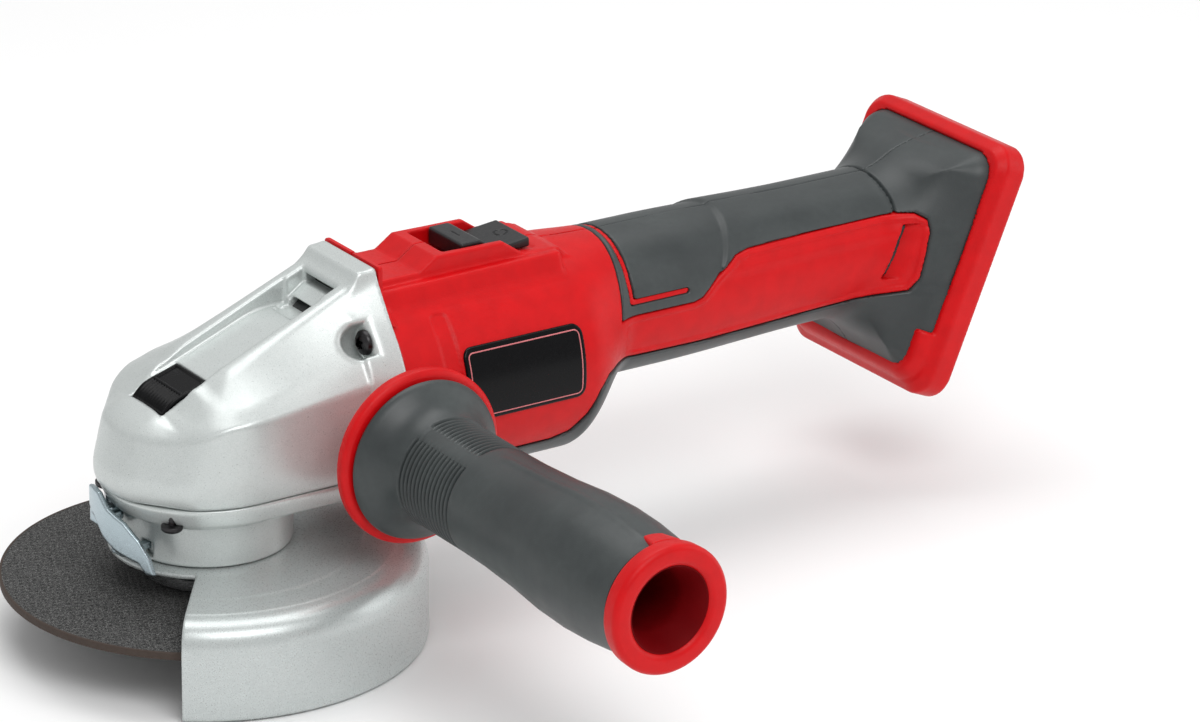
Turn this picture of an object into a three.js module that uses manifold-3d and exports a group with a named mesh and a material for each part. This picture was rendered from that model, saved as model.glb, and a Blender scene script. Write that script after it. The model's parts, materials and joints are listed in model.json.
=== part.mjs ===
// Cordless angle grinder with a 125 mm disc, in millimetres.
// The output spindle stands on +Z with its lower end face centred on the origin. The motor
// lies along +X behind it, and the side handle points to -Y. The battery is not fitted.

import * as THREE from "three";
import { mergeVertices } from "three/addons/utils/BufferGeometryUtils.js";
import Module from "manifold-3d";

const wasm = await Module();
wasm.setup();

// ---------------------------------------------------------------- driving dimensions

const GAP = 0.3; // left between neighbouring pieces
const SIDES = 22; // facets round a large turned piece
const FEW = 10; // facets round a small one
const FLAT = 0.05; // faces that stray less than this from a plane are joined

const DISC = { radius: 62.5, bore: 11.3, low: 7.6, high: 10 };
const GUARD = { radius: 66.3, wall: 1.6, low: -10, high: 20.1, from: -127, to: 54 };
const GUARD_COLLAR = { inner: 20.7, outer: 22.8, high: 26, notches: 8 };
const NECK = { outer: 25.6, groove: 23.2, inner: 20.3, low: 20.5 };
const COVER = { low: 35, high: 41.2, front: 33.2, half: 31.4, rear: 34 };
const MOTOR_Z = 58.6; // height of the motor axis
const JOINT_X = 50; // plane where the gear head meets the motor housing
const HEAD = { low: 41.5, wall: 3.2, flange: 34.7, waist: 46, front: 35.5, half: 32.8 };
const RIDGE = { x: -15.5, z: 71.7, rise: 0.424, half: 15.5 }; // line along each roof ridge
const CHANNEL = { x: -4.5, z: 73.4, rise: 0.37, half: 10 }; // floor between the ridges
const HUMP = { front: 41, top: 99.6, half: 14.6 };
const HEAD_BOLTS = 31.2; // radius of the four gearbox screws about the motor axis
const COVER_BOLTS = [23.4, 19.7];
const REAR_BOLTS = [22.4, 24.5];
const BODY = { radius: 33.5, taper: 117, slim: 140, grip: 23.6, gripEnd: 22.2, gripZ: 67.7 };
const WALL = 2.8; // plastic shell
const SKIN = 1.6; // soft overmould
const STRIP = { front: 65, high: 36.6, collar: 131.9 }; // soft strip under the motor and collar
const FOOT = { x: 266.75, z: 59.75, tilt: 22.4, halfU: 42.5, halfV: 36.5, rim: 11, bevel: 4.3 };
const GEARS = { crown: 36, pinion: 11, outer: 20.5, inner: 14.5 };
const LOCK = { x: -10.5, pin: 2, hole: 2.6, travel: 4 };
const HANDLE = { x: 42, z: 54.6, flange: -48, length: 132.5, stud: 4.9 };
const SWITCH = { front: 84, rear: 108.8, half: 9.3, travel: 6 };
const LEVER = { angle: 165, radius: 30, inner: 34, outer: 35.8 };

// ---------------------------------------------------------------- solids

const AXIS_MAP = {
  x: (u, v, w) => [w, u, v],
  y: (u, v, w) => [u, w, v],
  z: (u, v, w) => [u, v, w],
};

// A closed geometry as a solid, with its faces pointing out.
function solidOf(geometry, place = (x, y, z) => [x, y, z]) {
  geometry.deleteAttribute("normal");
  geometry.deleteAttribute("uv");
  const merged = mergeVertices(geometry, 1e-4);
  const from = merged.attributes.position;
  const positions = new Float32Array(from.count * 3);
  for (let i = 0; i < from.count; i += 1) {
    positions.set(place(from.getX(i), from.getY(i), from.getZ(i)), i * 3);
  }
  const corner = (i) => new THREE.Vector3(...positions.subarray(i * 3, i * 3 + 3));
  const faces = [];
  let volume = 0;
  for (let i = 0; i < merged.index.count; i += 3) {
    const face = [0, 1, 2].map((k) => merged.index.getX(i + k));
    if (new Set(face).size < 3) continue;
    const [a, b, c] = face.map(corner);
    volume += a.dot(b.cross(c));
    faces.push(face);
  }
  if (volume < 0) faces.forEach((face) => face.reverse());
  const triVerts = Uint32Array.from(faces.flat());
  return new wasm.Manifold(new wasm.Mesh({ numProp: 3, vertProperties: positions, triVerts }));
}

// An outline pushed along an axis. Outlines are (y, z) on x, (x, z) on y and (x, y) on z.
function prism(axis, outline, from, to) {
  const shape = new THREE.Shape(outline.map(([u, v]) => new THREE.Vector2(u, v)));
  const geometry = new THREE.ExtrudeGeometry(shape, { depth: to - from, bevelEnabled: false });
  geometry.translate(0, 0, from);
  return solidOf(geometry, AXIS_MAP[axis]);
}

function block([x0, y0, z0], [x1, y1, z1]) {
  const geometry = new THREE.BoxGeometry(x1 - x0, y1 - y0, z1 - z0);
  geometry.translate((x0 + x1) / 2, (y0 + y1) / 2, (z0 + z1) / 2);
  return solidOf(geometry);
}

// A profile of [radius, height] points turned about an axis through `centre`.
function turned(axis, profile, centre = [0, 0, 0], sides = SIDES) {
  const points = profile.map(([r, h]) => new THREE.Vector2(r, h));
  const geometry = new THREE.LatheGeometry(points, sides);
  return solidOf(geometry, (x, y, z) => {
    const [a, b, c] = AXIS_MAP[axis](x, z, y);
    return [a + centre[0], b + centre[1], c + centre[2]];
  });
}

function rod(axis, radius, from, to, centre, sides) {
  return turned(axis, [[0, from], [radius, from], [radius, to], [0, to]], centre, sides);
}

function tube(axis, inner, outer, from, to, centre, sides) {
  const profile = [[inner, from], [outer, from], [outer, to], [inner, to], [inner, from]];
  return turned(axis, profile, centre, sides);
}

// A closed skin over rings of points, each ring with the same count, capped at both ends.
function loft(rings) {
  const count = rings[0].length;
  const middle = (ring) => [0, 1, 2].map((k) => ring.reduce((s, p) => s + p[k], 0) / count);
  const points = [...rings.flat(), middle(rings[0]), middle(rings[rings.length - 1])];
  const index = [];
  const first = rings.length * count;
  for (let i = 0; i < count; i += 1) {
    const next = (i + 1) % count;
    for (let ring = 0; ring < rings.length - 1; ring += 1) {
      const a = ring * count;
      const b = a + count;
      index.push(a + i, a + next, b + i, a + next, b + next, b + i);
    }
    const last = (rings.length - 1) * count;
    index.push(first, next, i, first + 1, last + i, last + next);
  }
  const geometry = new THREE.BufferGeometry();
  geometry.setAttribute("position", new THREE.Float32BufferAttribute(points.flat(), 3));
  geometry.setIndex(index);
  return solidOf(geometry);
}

const add = (first, ...rest) => rest.reduce((sum, piece) => sum.add(piece), first);
const cut = (first, ...rest) => rest.reduce((left, piece) => left.subtract(piece), first);
const radians = (degrees) => (degrees * Math.PI) / 180;
const polar = (radius, degrees) => [
  radius * Math.cos(radians(degrees)),
  radius * Math.sin(radians(degrees)),
];
const smooth = (t) => {
  const u = Math.min(Math.max(t, 0), 1);
  return u * u * (3 - 2 * u);
};
const mix = (a, b, t) => a + (b - a) * t;

function arc(radius, from, to, steps) {
  return Array.from({ length: steps + 1 }, (_, i) => polar(radius, mix(from, to, i / steps)));
}

// ---------------------------------------------------------------- the object

const group = new THREE.Group();
group.name = "angle_grinder";

function piece(name, solid, colour, roughness, metalness = 0) {
  const { vertProperties, triVerts } = solid.simplify(FLAT).getMesh();
  const geometry = new THREE.BufferGeometry();
  geometry.setAttribute("position", new THREE.BufferAttribute(vertProperties, 3));
  geometry.setIndex(new THREE.BufferAttribute(triVerts, 1));
  geometry.computeVertexNormals();
  const material = new THREE.MeshStandardMaterial({ color: colour, roughness, metalness });
  const mesh = new THREE.Mesh(geometry, material);
  mesh.name = name;
  group.add(mesh);
}

const CAST = [0xc8d0cf, 0.45, 0.6];
const SHEET = [0xbfc6c5, 0.4, 0.6];
const STEEL = [0x9a9c9e, 0.35, 0.9];
const DARK_STEEL = [0x2b2c2e, 0.4, 0.8];
const RED = [0xd9161c, 0.45, 0];
const SOFT = [0x4a5252, 0.75, 0];
const BLACK = [0x17181a, 0.5, 0];
const COPPER = [0xb86a35, 0.4, 0.8];

// ---------------------------------------------------------------- gear head

// Plan outline of the head: a half-ellipse nose running back into straight sides.
function headOutline(front, half, rear) {
  const nose = arc(1, 270, 90, 16).map(([c, s]) => [c * front, s * half]);
  return [...nose, [rear, half], [rear, -half]];
}

function headSlice(z, front, half, rear, inset) {
  return headOutline(front - inset, half - inset, rear).map(([x, y]) => [x, y, z]);
}

// The head's casting outline, or its cavity when inset by the wall.
function headForm(inset) {
  const low = HEAD.low - (inset ? 1 : 0);
  const rear = JOINT_X + (inset ? 1 : 0);
  const slices = [
    headSlice(low, 33.5, 31.6, rear, inset),
    headSlice(HEAD.waist, HEAD.front, HEAD.half, rear, inset),
    headSlice(66, 29.7, 32.2, rear, inset),
    headSlice(103, 19, 31, rear, inset),
  ];
  const ridge = (x) => RIDGE.z + RIDGE.rise * (x - RIDGE.x) - inset * 1.1;
  const side = [
    [-40, low], [-40, ridge(-40)], [HUMP.front, ridge(HUMP.front)],
    [HUMP.front + 3, HUMP.top - inset * 1.4], [rear, HUMP.top - 1 - inset * 1.4], [rear, low],
  ];
  return loft(slices).intersect(prism("y", side, -50, 50));
}

// A wedge that takes one roof slope off the head, from its ridge out to the shoulder.
function roofCut(sign, inset) {
  const rings = [-45, 60].map((x) => {
    const ridge = [sign * (RIDGE.half - inset * 0.4), RIDGE.z + RIDGE.rise * (x - RIDGE.x) - inset];
    const shoulder = [sign * (29 - inset), 70 + 0.13 * x - inset * 0.8];
    const out = (t) => [mix(shoulder[0], ridge[0], t), mix(shoulder[1], ridge[1], t)];
    return [out(-1), shoulder, ridge, out(2.5), [sign * 70, 160], [sign * 70, out(-1)[1]]]
      .map(([y, z]) => [x, y, z]);
  });
  return loft(rings);
}

// The hump keeps its upright sides where the roof slopes are taken off beside it.
function humpForm() {
  const outline = [
    [HUMP.front - 1, 74], [HUMP.front, 93], [HUMP.front + 3, HUMP.top],
    [JOINT_X, HUMP.top - 1], [JOINT_X, 74],
  ];
  return prism("y", outline, -HUMP.half, HUMP.half);
}

const BOLT_PLACES = [45, 135, 225, 315].map((angle) => {
  const [y, z] = polar(HEAD_BOLTS, angle);
  return [0, y, MOTOR_Z + z];
});
const COVER_PLACES = [
  [-COVER_BOLTS[0], -COVER_BOLTS[1], 0], [-COVER_BOLTS[0], COVER_BOLTS[1], 0],
  [REAR_BOLTS[0], -REAR_BOLTS[1], 0], [REAR_BOLTS[0], REAR_BOLTS[1], 0],
];
const MOTOR_CENTRE = [0, 0, MOTOR_Z];

function handleBoss(sign) {
  const centre = [HANDLE.x, 0, HANDLE.z];
  return rod("y", 7.8, Math.min(sign * 26, sign * 40), Math.max(sign * 26, sign * 40), centre);
}

function gearHead() {
  const shell = add(
    cut(headForm(0), roofCut(1, 0), roofCut(-1, 0)),
    humpForm(),
    rod("x", HEAD.flange, 38, JOINT_X, MOTOR_CENTRE, 30),
    handleBoss(1),
    handleBoss(-1),
  );
  const floor = (x) => CHANNEL.z + CHANNEL.rise * (x - CHANNEL.x);
  const channel = prism(
    "y",
    [[-40, floor(-40)], [33, floor(33)], [33.6, floor(33) + 4], [39, 90.6], [39.8, 96], [-40, 96]],
    -CHANNEL.half, CHANNEL.half,
  );
  const cavity = cut(headForm(HEAD.wall), roofCut(1, HEAD.wall), roofCut(-1, HEAD.wall),
    prism("y", [[-40, floor(-40) - 3], [44, floor(44) - 3], [44, 110], [-40, 110]], -12.5, 12.5));
  const rearBore = rod("x", 27.4, 36, JOINT_X + 1, MOTOR_CENTRE);
  const hollow = add(cavity.intersect(block([-40, -40, 40], [39, 40, 110])), rearBore);
  const bushBoss = rod("z", 7.3, 60, 74, undefined, 20);
  const bridge = block([-25, -12, 57.4], [-5.5, 12, 60]).intersect(headForm(1));
  const buttonWell = prism("y", buttonOutline(GAP), -9.3, 9.3);
  const vents = [
    block([35, -7.6, 84], [42, 7.6, 86.6]),
    block([39, -8.8, 90.8], [46, 8.8, 93]),
  ];
  const recesses = BOLT_PLACES.map((place) => rod("x", 5.8, 27, 42.4, place, FEW));
  const boltHoles = BOLT_PLACES.map((place) => rod("x", 2.3, 40, 52, place, FEW));
  const coverBosses = COVER_PLACES.map((place) => rod("z", 4.4, 41.5, 52, place, FEW));
  const coverHoles = COVER_PLACES.map((place) => rod("z", 2.2, 40, 49, place, FEW));
  const studHoles = [1, -1].map((sign) => rod("y", HANDLE.stud + 0.3,
    Math.min(sign * 26, sign * 41), Math.max(sign * 26, sign * 41), [HANDLE.x, 0, HANDLE.z], 20));
  return cut(
    add(
      cut(shell, channel, hollow),
      bushBoss,
      bridge,
      ...coverBosses.map((boss) => boss.intersect(headForm(0.5))),
    ),
    ...vents, ...recesses, ...boltHoles, ...coverHoles, ...studHoles,
    rod("z", 6.3, 59, 67.4, undefined, 20),
    rod("z", LOCK.pin + 0.4, 50, 90, [LOCK.x, 0, 0], FEW),
    buttonWell,
  );
}

// Side outline of the lock button's well, grown by a gap round the button.
function buttonOutline(grow) {
  return [
    [-20.2 - grow, 60], [-20.2 - grow, 72], [-14, 78], [-4.6 + grow, 81], [-4.6 + grow, 60],
  ];
}

// ---------------------------------------------------------------- bearing cover and guard

function bearingCover() {
  const low = headSlice(COVER.low, 29.8, 30.2, COVER.rear - 3, 0);
  const middle = headSlice(COVER.low + 1, 30.6, 30.8, COVER.rear - 2, 0);
  const high = headSlice(COVER.high, COVER.front, COVER.half, COVER.rear, 0);
  const plate = loft([low, middle, high]);
  const neck = rod("z", NECK.outer, NECK.low, COVER.low + 1, undefined, 30);
  const groove = tube("z", NECK.inner, NECK.groove, NECK.low - 1, 27, undefined, 30);
  const seat = rod("z", 16.3, 23.7, 34.3);
  const passage = rod("z", 10, 19, 42);
  const dish = rod("z", 22, 37.5, 42);
  const latchSlot = block([-34, -9, 21.5], [-21, -4.5, 26.5]);
  const pivotHole = rod("z", 1.8, 34, 39, [...polar(LEVER.radius, LEVER.angle), 0], FEW);
  const screwHoles = COVER_PLACES.map((place) => rod("z", 2.2, 34, 42, place, FEW));
  const sealSeat = rod("z", 12.3, 19, 23.8);
  return cut(add(plate, neck), groove, seat, passage, dish, latchSlot, sealSeat, pivotHole,
    ...screwHoles);
}

function guard() {
  const { radius, wall, low, high, from, to } = GUARD;
  const profile = [
    [GUARD_COLLAR.inner, high - wall], [58, high - wall], [61.2, high - 3.4], [64.7, 9.5],
    [64.7, low], [radius, low], [radius, 9.8], [62.3, high - 2.1], [59, high],
    [GUARD_COLLAR.inner, high], [GUARD_COLLAR.inner, high - wall],
  ];
  const sweep = arc(90, from, to, 12);
  const hood = turned("z", profile, undefined, 40)
    .intersect(prism("z", [[0, 0], ...sweep], low - 1, high + 1));
  const ring = tube("z", GUARD_COLLAR.inner, 30, high - wall, high, undefined, 30);
  const collar = tube("z", GUARD_COLLAR.inner, GUARD_COLLAR.outer, high - 1, GUARD_COLLAR.high,
    undefined, 30);
  const notches = Array.from({ length: GUARD_COLLAR.notches }, (_, i) => {
    const angle = (i * 360) / GUARD_COLLAR.notches;
    return rod("z", 1.3, 21, 27, [...polar(GUARD_COLLAR.outer + 0.3, angle), 0], 8);
  });
  return cut(add(hood, ring, collar), ...notches);
}

// The quick-release lever: an eye on its pin, a tooth through the neck's slot, and a blade that
// follows the cover's edge and ends in a thumb tab. The blade is drawn over angle and height,
// then wrapped round the spindle axis.
function guardLever() {
  const pivot = polar(LEVER.radius, LEVER.angle);
  const blade = loft([LEVER.inner, LEVER.outer].map((radius) => [
    [163, 34], [163, 40.6], [170, 41.2], [176, 41], [184, 37.4], [196, 35.2], [205, 31], [211, 26],
    [214, 20.7], [209, 20.7], [205, 23.6], [190, 25.2], [180, 27.5], [171, 32.5],
  ].map(([angle, z]) => [...polar(radius, angle), z])));
  const eye = rod("z", 4.2, 29.5, 34.6, [...pivot, 0], 16);
  const arm = block([-35, 2, 29.5], [-28, 9, 33.5]);
  const tooth = prism("z", [[-35.2, -9.5], [-35.2, -4], [-23.6, -5.4], [-23.6, -7.8]], 24.2, 26.2);
  const root = prism("z", [[-35.2, -9.5], [-35.2, -4], [-31, -4.8], [-31, -8.6]], 24.2, 29.5);
  const hole = rod("z", 1.9, 28, 36, [...pivot, 0], FEW);
  return cut(add(blade, eye, arm, tooth, root), hole);
}

// ---------------------------------------------------------------- drive train

// One bevel tooth as a wedge pointing at the gears' common apex. `at` turns a distance from
// the apex, a height over the pitch cone and a sideways offset into a point.
function tooth(at) {
  const section = (reach) => {
    const s = reach / GEARS.outer;
    return [[-1.15, -0.5], [0.85, -0.2], [0.85, 0.2], [-1.15, 0.5]]
      .map(([height, across]) => at(reach, height * s, across * s));
  };
  return loft([section(GEARS.inner), section(GEARS.outer)]);
}

const SLOPE = GEARS.pinion / GEARS.crown; // of the crown gear's pitch cone

function crownGear() {
  const drop = (reach) => MOTOR_Z - reach * SLOPE;
  const root = (reach) => drop(reach) - 1.1 * (reach / GEARS.outer);
  const blank = turned("z", [
    [6.2, 44.5], [14, 44.5], [GEARS.outer, 47.5], [GEARS.outer, root(GEARS.outer)],
    [GEARS.inner - 0.4, root(GEARS.inner)], [GEARS.inner - 0.4, 53.2], [6.2, 53.2], [6.2, 44.5],
  ], undefined, GEARS.crown);
  const teeth = Array.from({ length: GEARS.crown }, (_, i) => {
    const angle = ((i + 0.5) * 360) / GEARS.crown;
    const [c, s] = polar(1, angle);
    return tooth((reach, height, across) => [
      reach * c - across * s, reach * s + across * c, drop(reach) + height,
    ]);
  });
  const pockets = [0, 90, 180, 270].map((angle) => rod("z", LOCK.hole, 47.5, 54,
    [...polar(-LOCK.x, angle), 0], FEW));
  return cut(add(blank, ...teeth), ...pockets);
}

function pinion() {
  const radius = (reach) => reach * SLOPE;
  const root = (reach) => radius(reach) - 1.1 * (reach / GEARS.outer);
  const blank = turned("x", [
    [0, GEARS.inner], [root(GEARS.inner), GEARS.inner], [root(GEARS.outer), GEARS.outer],
    [4.6, GEARS.outer + 2.5], [0, GEARS.outer + 2.5],
  ], MOTOR_CENTRE, 24);
  const teeth = Array.from({ length: GEARS.pinion }, (_, i) => {
    const [c, s] = polar(1, (i * 360) / GEARS.pinion - 90);
    return tooth((reach, height, across) => {
      const r = radius(reach) + height;
      return [reach, r * c - across * s, MOTOR_Z + r * s + across * c];
    });
  });
  return add(blank, ...teeth);
}

function driveTrain() {
  piece("spindle", turned("z", [
    [0, 0], [6.4, 0], [6.9, 0.8], [6.9, 19], [8.3, 19.4], [8.3, 34.4], [5.9, 35], [5.9, 54],
    [4, 54.6], [4, 66], [0, 66],
  ]), ...STEEL);
  piece("crown_gear", crownGear(), ...STEEL);
  piece("spindle_bearing", tube("z", 8.6, 16, 24, 34), ...STEEL);
  piece("spindle_bush", tube("z", 4.2, 6, 60, 65.8, undefined, 20), ...STEEL);
  piece("spindle_seal", tube("z", 8.7, 12, 20.8, 23.4), ...BLACK);
  piece("inner_flange", turned("z", [
    [7.1, 8.8], [11, 8.8], [11, 10.25], [20, 10.25], [20, 13.5], [13, 18.6], [7.1, 18.6],
    [7.1, 8.8],
  ]), ...STEEL);
  piece("cutting_disc", tube("z", DISC.bore, DISC.radius, DISC.low, DISC.high, undefined, 48),
    0x2a2726, 0.9, 0);
  const nutHoles = [0, 90, 180, 270]
    .map((angle) => rod("z", 2.3, 0, 4.6, [...polar(15.5, angle + 45), 0], 10));
  piece("flange_nut", cut(turned("z", [
    [7.1, 1.2], [12, 1.2], [13, 3.2], [20, 3.6], [20, 7.3], [7.1, 7.3], [7.1, 1.2],
  ]), ...nutHoles), ...DARK_STEEL);
  piece("pinion", pinion(), ...STEEL);
}

// ---------------------------------------------------------------- motor

function motor() {
  const c = MOTOR_CENTRE;
  piece("rotor_shaft", turned("x", [
    [0, 23.3], [4, 23.3], [4, 118], [3, 119], [3, 124], [0, 124],
  ], c, 20), ...STEEL);
  piece("front_bearing", tube("x", 4.1, 13, 44.5, 54.5, c), ...STEEL);
  piece("bearing_plate", cut(
    turned("x", [
      [7, 42.5], [27, 42.5], [27, 50.4], [26.6, 57], [7, 57], [7, 42.5],
    ], c),
    rod("x", 13.3, 44.2, 58, c),
  ), ...BLACK);
  const blades = Array.from({ length: 11 }, (_, i) => {
    const angle = (i * 360) / 11;
    const [a, b] = [polar(11, angle), polar(24.8, angle - 24)];
    const side = new THREE.Vector2(b[0] - a[0], b[1] - a[1]).normalize().multiplyScalar(0.7);
    const outline = [[a[0] - side.y, a[1] + side.x], [b[0] - side.y, b[1] + side.x],
      [b[0] + side.y, b[1] - side.x], [a[0] + side.y, a[1] - side.x]]
      .map(([y, z]) => [y, z + MOTOR_Z]);
    return prism("x", outline, 60, 69);
  });
  piece("fan", add(tube("x", 4.15, 12, 60, 70.5, c), tube("x", 4.15, 25.4, 69, 70.5, c), ...blades),
    ...BLACK);
  const slots = Array.from({ length: 6 }, (_, i) => {
    const [y, z] = polar(19, i * 60 + 30);
    return rod("x", 4.2, 80, 112, [0, y, MOTOR_Z + z], 8);
  });
  piece("stator_core", cut(tube("x", 14.8, 29.8, 84, 106, c), ...slots), 0x6d6f72, 0.5, 0.7);
  const lobes = (from, to) => cut(
    add(tube("x", 16, 26, from, to, c), ...Array.from({ length: 6 }, (_, i) => {
      const [y, z] = polar(21, i * 60);
      return rod("x", 5.6, from - 0.8, to, [0, y, MOTOR_Z + z], 8);
    })),
    rod("x", 15.6, from - 2, to + 1, c),
  );
  piece("front_winding", lobes(76.5, 83.7), ...COPPER);
  piece("rear_winding", lobes(107.1, 112.8), ...COPPER);
  piece("rotor", tube("x", 4.15, 14, 82, 108, c), 0x55575a, 0.45, 0.8);
  piece("rear_bearing", tube("x", 3.1, 8, 119, 123.6, c, 20), ...STEEL);
}

// ---------------------------------------------------------------- housing

const FOOT_UP = [Math.sin(radians(FOOT.tilt)), 0, Math.cos(radians(FOOT.tilt))];
const FOOT_OUT = [Math.cos(radians(FOOT.tilt)), 0, -Math.sin(radians(FOOT.tilt))];

// A point given by its height u up the foot, its side v and its distance w behind the rear face.
const footPoint = (u, v, w) => [
  FOOT.x + u * FOOT_UP[0] + w * FOOT_OUT[0],
  v,
  FOOT.z + u * FOOT_UP[2] + w * FOOT_OUT[2],
];

// A ring between a circle (power 2) and a rounded rectangle (power 5 or more).
function oval(halfU, halfV, power, place) {
  return Array.from({ length: SIDES }, (_, i) => {
    const [c, s] = polar(1, (i * 360) / SIDES);
    const bend = (t) => Math.sign(t) * Math.abs(t) ** (2 / power);
    return place(bend(c) * halfU, bend(s) * halfV);
  });
}

const footRing = (halfU, halfV, power, w) => oval(halfU, halfV, power, (u, v) => footPoint(u, v, w));

function bodyRing(x, inset) {
  const t = smooth((x - BODY.taper) / (BODY.slim - BODY.taper));
  const slim = mix(BODY.grip, BODY.gripEnd, smooth((x - 156) / 62));
  const radius = mix(BODY.radius, slim, t) - inset;
  const z = mix(MOTOR_Z, BODY.gripZ, t);
  return oval(radius, radius, 2, (u, v) => [x, v, z + u]);
}

// The outer form of motor housing, grip and foot, or the same form inset by a wall.
function bodyForm(inset, from = JOINT_X + GAP, end = -1) {
  const stations = [117, 121, 125, 129, 133, 137, 141, 156, 218, 226];
  return loft([
    bodyRing(from, inset),
    ...stations.filter((x) => x > from + 1).map((x) => bodyRing(x, inset)),
    footRing(29 - inset, 27 - inset, 2.4, -29),
    footRing(36 - inset, 31.4 - inset, 3.4, -23),
    footRing(38.2 - inset, 32.2 - inset, 5, -15.3),
    footRing(38.2 - inset, 32.2 - inset, 6, end),
  ]);
}

// Side outline of all that the soft overmould leaves bare: the motor housing down to its belly,
// and a panel that runs back along the grip to the foot.
function bareOutline(grow) {
  const front = STRIP.front;
  return [
    [front + grow, 20], [JOINT_X - 5, 20], [JOINT_X - 5, 112], [STRIP.collar + 6 + grow, 112],
    [STRIP.collar + 4.1 + grow, 90], [STRIP.collar + grow, 69.4 + grow], [161, 69.3 + grow],
    [164.5 - grow, 70.2 + grow], [171.5 - grow, 75.9 + grow], [179, 80.3 + grow],
    [184, 81.2 + grow], [238, 81.2 + grow], [245, 79.6 + grow], [248.6 + grow, 76],
    [248 + grow, 71], [243.4 + grow, 59.6], [240, 57 - grow],
    [230, 55.8 - grow], [198, 54.7 - grow], [166, 54 - grow],
    [140, 54.8 - grow], [130, 56.6 - grow], [124, 56 - grow], [120 + grow, 52 - grow],
    [116.5 + grow, 44.5], [112 + grow, 38.5 - grow], [106, STRIP.high - grow],
    [front + grow, STRIP.high - grow],
  ];
}

const side = (sign) => block([0, sign > 0 ? 0.12 : -90, -20], [320, sign > 0 ? 90 : -0.12, 130]);

// The raised deck and switch saddle on top of the motor housing.
function saddle() {
  const profile = [
    [JOINT_X + GAP, 85], [JOINT_X + GAP, 94.6], [66.5, 94.6], [72.5, 98.7], [97, 98.5],
    [103, 94.2], [116, 93.4], [122, 85],
  ];
  return prism("y", profile, -12.4, 12.4);
}

function housing() {
  const bosses = BOLT_PLACES.map((place) => rod("x", 4.3, JOINT_X + GAP, 64, place, FEW));
  const boltHoles = BOLT_PLACES.map((place) => rod("x", 2.2, 49, 62.5, place, FEW));
  const outer = add(
    bodyForm(SKIN, JOINT_X + GAP),
    bodyForm(0).intersect(prism("y", bareOutline(0), -60, 60)),
    saddle(),
  );
  const inner = add(
    bodyForm(SKIN + WALL, JOINT_X - 1, 1),
    rod("x", BODY.radius - WALL, JOINT_X - 1, 118, MOTOR_CENTRE),
  );
  const ribs = add(
    tube("x", 8.4, 31.2, 119, 122, MOTOR_CENTRE),
    tube("x", 8.4, 10.6, 116.5, 124, MOTOR_CENTRE),
  ).intersect(bodyForm(1.5));
  const reach = SWITCH.front - SWITCH.travel;
  const slot = block([reach - 1, -6.2, 80], [SWITCH.rear - 9, 6.2, 100]);
  const rodWay = block([reach - 1, -3.6, 81.6], [132, 3.6, 91.6]);
  const well = block([reach - 1.2, -SWITCH.half - 0.4, 93.4],
    [SWITCH.rear + 1.2, SWITCH.half + 0.4, 101]);
  const vents = [1, -1].map((sign) => prism("y", ventOutline(), Math.min(sign * 12, sign * 40),
    Math.max(sign * 12, sign * 40)));
  const shell = cut(
    add(
      cut(outer, inner),
      ribs,
      ...bosses.map((boss) => boss.intersect(bodyForm(0.2))),
      ...SCREW_PLACES.map((place) => rod("y", 5.2, -22, 22, place, FEW).intersect(bodyForm(1.2))),
    ),
    ...boltHoles, slot, rodWay, well, ...vents,
    ...SCREW_PLACES.map((place) => rod("y", 1.9, -12, 40, place, FEW)),
    ...SCREW_PLACES.map((place) => rod("y", 3.9, place[3], 40, place, FEW)),
  );
  piece("housing_left", shell.intersect(side(-1)), ...RED);
  piece("housing_right", shell.intersect(side(1)), ...RED);
}

const ventOutline = () => [[233, 62], [238.4, 60.4], [244, 77], [239.4, 78]];

// Where the clamshell screws go in from +Y: x, y, z and the depth of the head's pocket.
const SCREW_PLACES = [
  [118.4, 0, 76, 17], [130.5, 0, 62, 14], [150, 0, 61.5, 12], [207, 0, 61, 12], [207, 0, 74, 12],
];

function housingScrew(place) {
  const seat = place[3] + GAP;
  return turned("y", [
    [0, -11], [1.6, -11], [1.6, seat], [3.4, seat], [3.4, seat + 2.2], [2, seat + 2.8],
    [1.2, seat + 1.6], [0, seat + 1.6],
  ], place.slice(0, 3), 10);
}

function softGrip() {
  const skin = cut(
    bodyForm(0, STRIP.front + GAP, -15.6),
    bodyForm(SKIN - 0.15, JOINT_X, 2),
    prism("y", bareOutline(GAP), -60, 60),
  );
  piece("soft_grip_left", skin.intersect(side(-1)), ...SOFT);
  piece("soft_grip_right", skin.intersect(side(1)), ...SOFT);
}

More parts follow.
